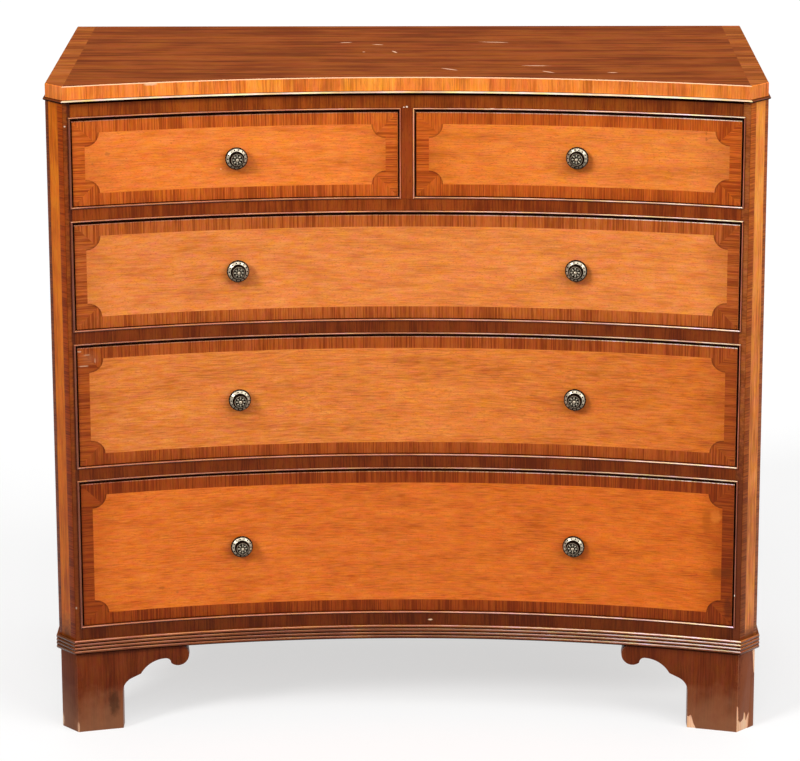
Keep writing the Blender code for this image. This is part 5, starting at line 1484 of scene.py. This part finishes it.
class CHEST_OT_pins(bpy.types.Operator):
    """Pins that hold the back panel"""

    bl_idname = "chest.pins"
    bl_label = "Back pins"

    def execute(self, context):
        low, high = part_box("back_panel")
        x0, x1, z0, z1 = low.x + PIN_INSET, high.x - PIN_INSET, low.z + PIN_INSET, high.z - PIN_INSET
        spots = [(x, z) for x in stations(x0, x1, PIN_SPACING) for z in (z0, z1)]
        spots += [(x, z) for z in stations(z0, z1, PIN_SPACING)[1:-1] for x in (x0, x1)]
        mesh = bpy.data.meshes.new("pins")
        mesh.from_pydata([(x, high.y - PIN_SUNK, z) for x, z in spots], [], [])
        obj = add_object("back_panel_pins", mesh)
        tree, given, sockets = start_group("Pins", {"Radius": "Float", "Metal": "Material"})
        head = node(tree, "GeometryNodeMeshCylinder", {
            "Vertices": 12, "Radius": given["Radius"], "Depth": PIN_HEAD})
        spread = node(tree, "GeometryNodeInstanceOnPoints", {
            "Points": given["Geometry"], "Instance": head.outputs[0],
            "Rotation": Euler((math.pi / 2, 0.0, 0.0))})
        values = {sockets["Radius"]: PIN_RADIUS, sockets["Metal"]: materials("steel")[0]}
        use_group(obj, tree, spread.outputs[0], given["Metal"], values)
        deliver(obj, "carcass", "brass")
        return {"FINISHED"}


# Lamps: degrees to the right of the camera, degrees up, strength and apparent size in degrees
LAMPS = ((-45, 30, 1.92, 14), (48, 31, 1.50, 40), (0, 58, 0.70, 24), (180, 60, 0.45, 40))
FLOOR_HALF = 90.0
FLOOR_WHITE = 0.62              # share of the floor's white that no shadow dims
FLOOR_BOUNCE = (0.30, 0.30, 0.30, 1.0)
WHITE = (1.0, 1.0, 1.0, 1.0)
DARK_WALL, PALE_WALL, CEILING = 0.06, 0.75, 0.36    # strengths of the studio's light
PALE_FROM, PALE_TO = 0.45, 0.95         # part of the way to the right over which the wall turns pale
CEILING_FROM, CEILING_TO = 0.35, 0.75   # part of the way up over which it gives way to the ceiling
# The camera that was fitted to the photograph: its place, turn to the left, tilt down and roll in degrees, and
# its lens in mm
CAMERA_AT = (0.0290, -4.7894, 1.6698)
CAMERA_TURN, CAMERA_TILT, CAMERA_ROLL = 0.478, 14.643, -0.152
SENSOR, LENS = 36.0, 165.2
CAMERA_SIGHT = 300.0


class CHEST_OT_stage(bpy.types.Operator):
    """White floor, soft lamps in front and above, and the camera of the picture"""

    bl_idname = "chest.stage"
    bl_label = "Stage"

    def execute(self, context):
        scene = context.scene
        scene.view_settings.view_transform = "Standard"
        size = FLOOR_HALF
        mesh = bpy.data.meshes.new("floor")
        corners = [(-size, -size, 0), (size, -size, 0), (size, size, 0), (-size, size, 0)]
        mesh.from_pydata(corners, [], [(0, 1, 2, 3)])
        add_object("floor", mesh, [self.paper(scene.chest_colours.floor)])
        for k, (right, up, strength, spread) in enumerate(LAMPS):
            lamp = bpy.data.lights.new(f"lamp{k}", "SUN")
            lamp.energy = strength
            lamp.angle = math.radians(spread)
            obj = bpy.data.objects.new(lamp.name, lamp)
            a, e = math.radians(right), math.radians(up)
            towards = Vector((math.sin(a) * math.cos(e), -math.cos(a) * math.cos(e), math.sin(e)))
            obj.rotation_euler = towards.to_track_quat("Z", "Y").to_euler()
            scene.collection.objects.link(obj)
        self.sky(scene)
        self.camera(scene)
        return {"FINISHED"}

    @staticmethod
    def paper(colour):
        """White paper with weak shadows, to the eye and in reflections.

        It gives the chest less light than it shows, as from far below.
        """
        material = plain("White paper, matt", colour, 0.9, 0.0)
        tree = material.node_tree
        white = node(tree, "ShaderNodeEmission", {"Strength": 1.0}).outputs[0]
        shader = tree.nodes["Principled BSDF"].outputs[0]
        lit = node(tree, "ShaderNodeMixShader", {0: FLOOR_WHITE, 1: shader, 2: white}).outputs[0]
        dim = node(tree, "ShaderNodeBsdfDiffuse", {"Color": FLOOR_BOUNCE}).outputs[0]
        rays = node(tree, "ShaderNodeLightPath").outputs
        seen = rays["Is Camera Ray"]
        for kind in ("Is Glossy Ray", "Is Transmission Ray"):
            seen = node(tree, "ShaderNodeMath", {0: seen, 1: rays[kind]}, operation="MAXIMUM").outputs[0]
        mixed = node(tree, "ShaderNodeMixShader", {0: seen, 1: dim, 2: lit}).outputs[0]
        tree.links.new(mixed, tree.nodes["Material Output"].inputs["Surface"])
        return material

    @staticmethod
    def sky(scene):
        """A studio with a pale ceiling, dark walls and a paler one on the right."""
        world = bpy.data.worlds.new("studio")
        scene.world = world
        world.use_nodes = True
        tree = world.node_tree
        way = node(tree, "ShaderNodeTexCoord").outputs["Generated"]
        right, _, up = node(tree, "ShaderNodeSeparateXYZ", {0: way}).outputs
        wall = node(tree, "ShaderNodeMapRange", {
            0: right, 1: PALE_FROM, 2: PALE_TO, 3: DARK_WALL, 4: PALE_WALL}, interpolation_type="SMOOTHSTEP")
        glow = node(tree, "ShaderNodeMapRange", {
            0: up, 1: CEILING_FROM, 2: CEILING_TO, 3: wall.outputs[0], 4: CEILING},
            interpolation_type="SMOOTHSTEP")
        back = tree.nodes["Background"]
        tree.links.new(glow.outputs[0], back.inputs["Strength"])
        back.inputs["Color"].default_value = WHITE

    @staticmethod
    def camera(scene):
        lens = bpy.data.cameras.new("camera")
        lens.sensor_width = SENSOR
        lens.sensor_fit = "HORIZONTAL"
        lens.lens = LENS
        lens.clip_end = CAMERA_SIGHT
        camera = bpy.data.objects.new("camera", lens)
        turns = ((CAMERA_TURN, "Z"), (90 - CAMERA_TILT, "X"), (CAMERA_ROLL, "Z"))
        place = Matrix.Translation(CAMERA_AT)
        for degrees, axis in turns:
            place = place @ Matrix.Rotation(math.radians(degrees), 4, axis)
        camera.matrix_world = place
        scene.collection.objects.link(camera)
        scene.camera = camera


OPERATORS = (
    CHEST_OT_top, CHEST_OT_drawer_fronts, CHEST_OT_carcass_veneers, CHEST_OT_mouldings, CHEST_OT_feet,
    CHEST_OT_knobs, CHEST_OT_pins, CHEST_OT_carcass, CHEST_OT_stage)
GROUPS = {"chest_veneer": ChestVeneer, "chest_colours": ChestColours, "chest_knobs": ChestKnobs}


class CHEST_PT_panel(bpy.types.Panel):
    """Buttons and settings of the chest"""

    bl_label = "Chest"
    bl_idname = "CHEST_PT_panel"
    bl_space_type = "VIEW_3D"
    bl_region_type = "UI"
    bl_category = "Chest"

    def draw(self, context):
        for operator in OPERATORS:
            self.layout.operator(operator.bl_idname)
        for name, group in GROUPS.items():
            column = self.layout.column(heading=group.__doc__)
            for key in group.__annotations__:
                column.prop(getattr(context.scene, name), key)


def register():
    for group in GROUPS.values():
        bpy.utils.register_class(group)
    for name, group in GROUPS.items():
        setattr(bpy.types.Scene, name, PointerProperty(type=group))
    for operator in OPERATORS:
        bpy.utils.register_class(operator)
    bpy.utils.register_class(CHEST_PT_panel)


def unregister():
    bpy.utils.unregister_class(CHEST_PT_panel)
    for operator in reversed(OPERATORS):
        bpy.utils.unregister_class(operator)
    for name, group in GROUPS.items():
        delattr(bpy.types.Scene, name)
        bpy.utils.unregister_class(group)


def main():
    register()
    bpy.ops.chest.top()
    bpy.ops.chest.drawer_fronts()
    bpy.ops.chest.carcass_veneers()
    bpy.ops.chest.mouldings()
    bpy.ops.chest.feet()
    bpy.ops.chest.knobs()
    bpy.ops.chest.pins()
    bpy.ops.chest.carcass()
    bpy.ops.chest.stage()


if __name__ == "__main__":
    main()
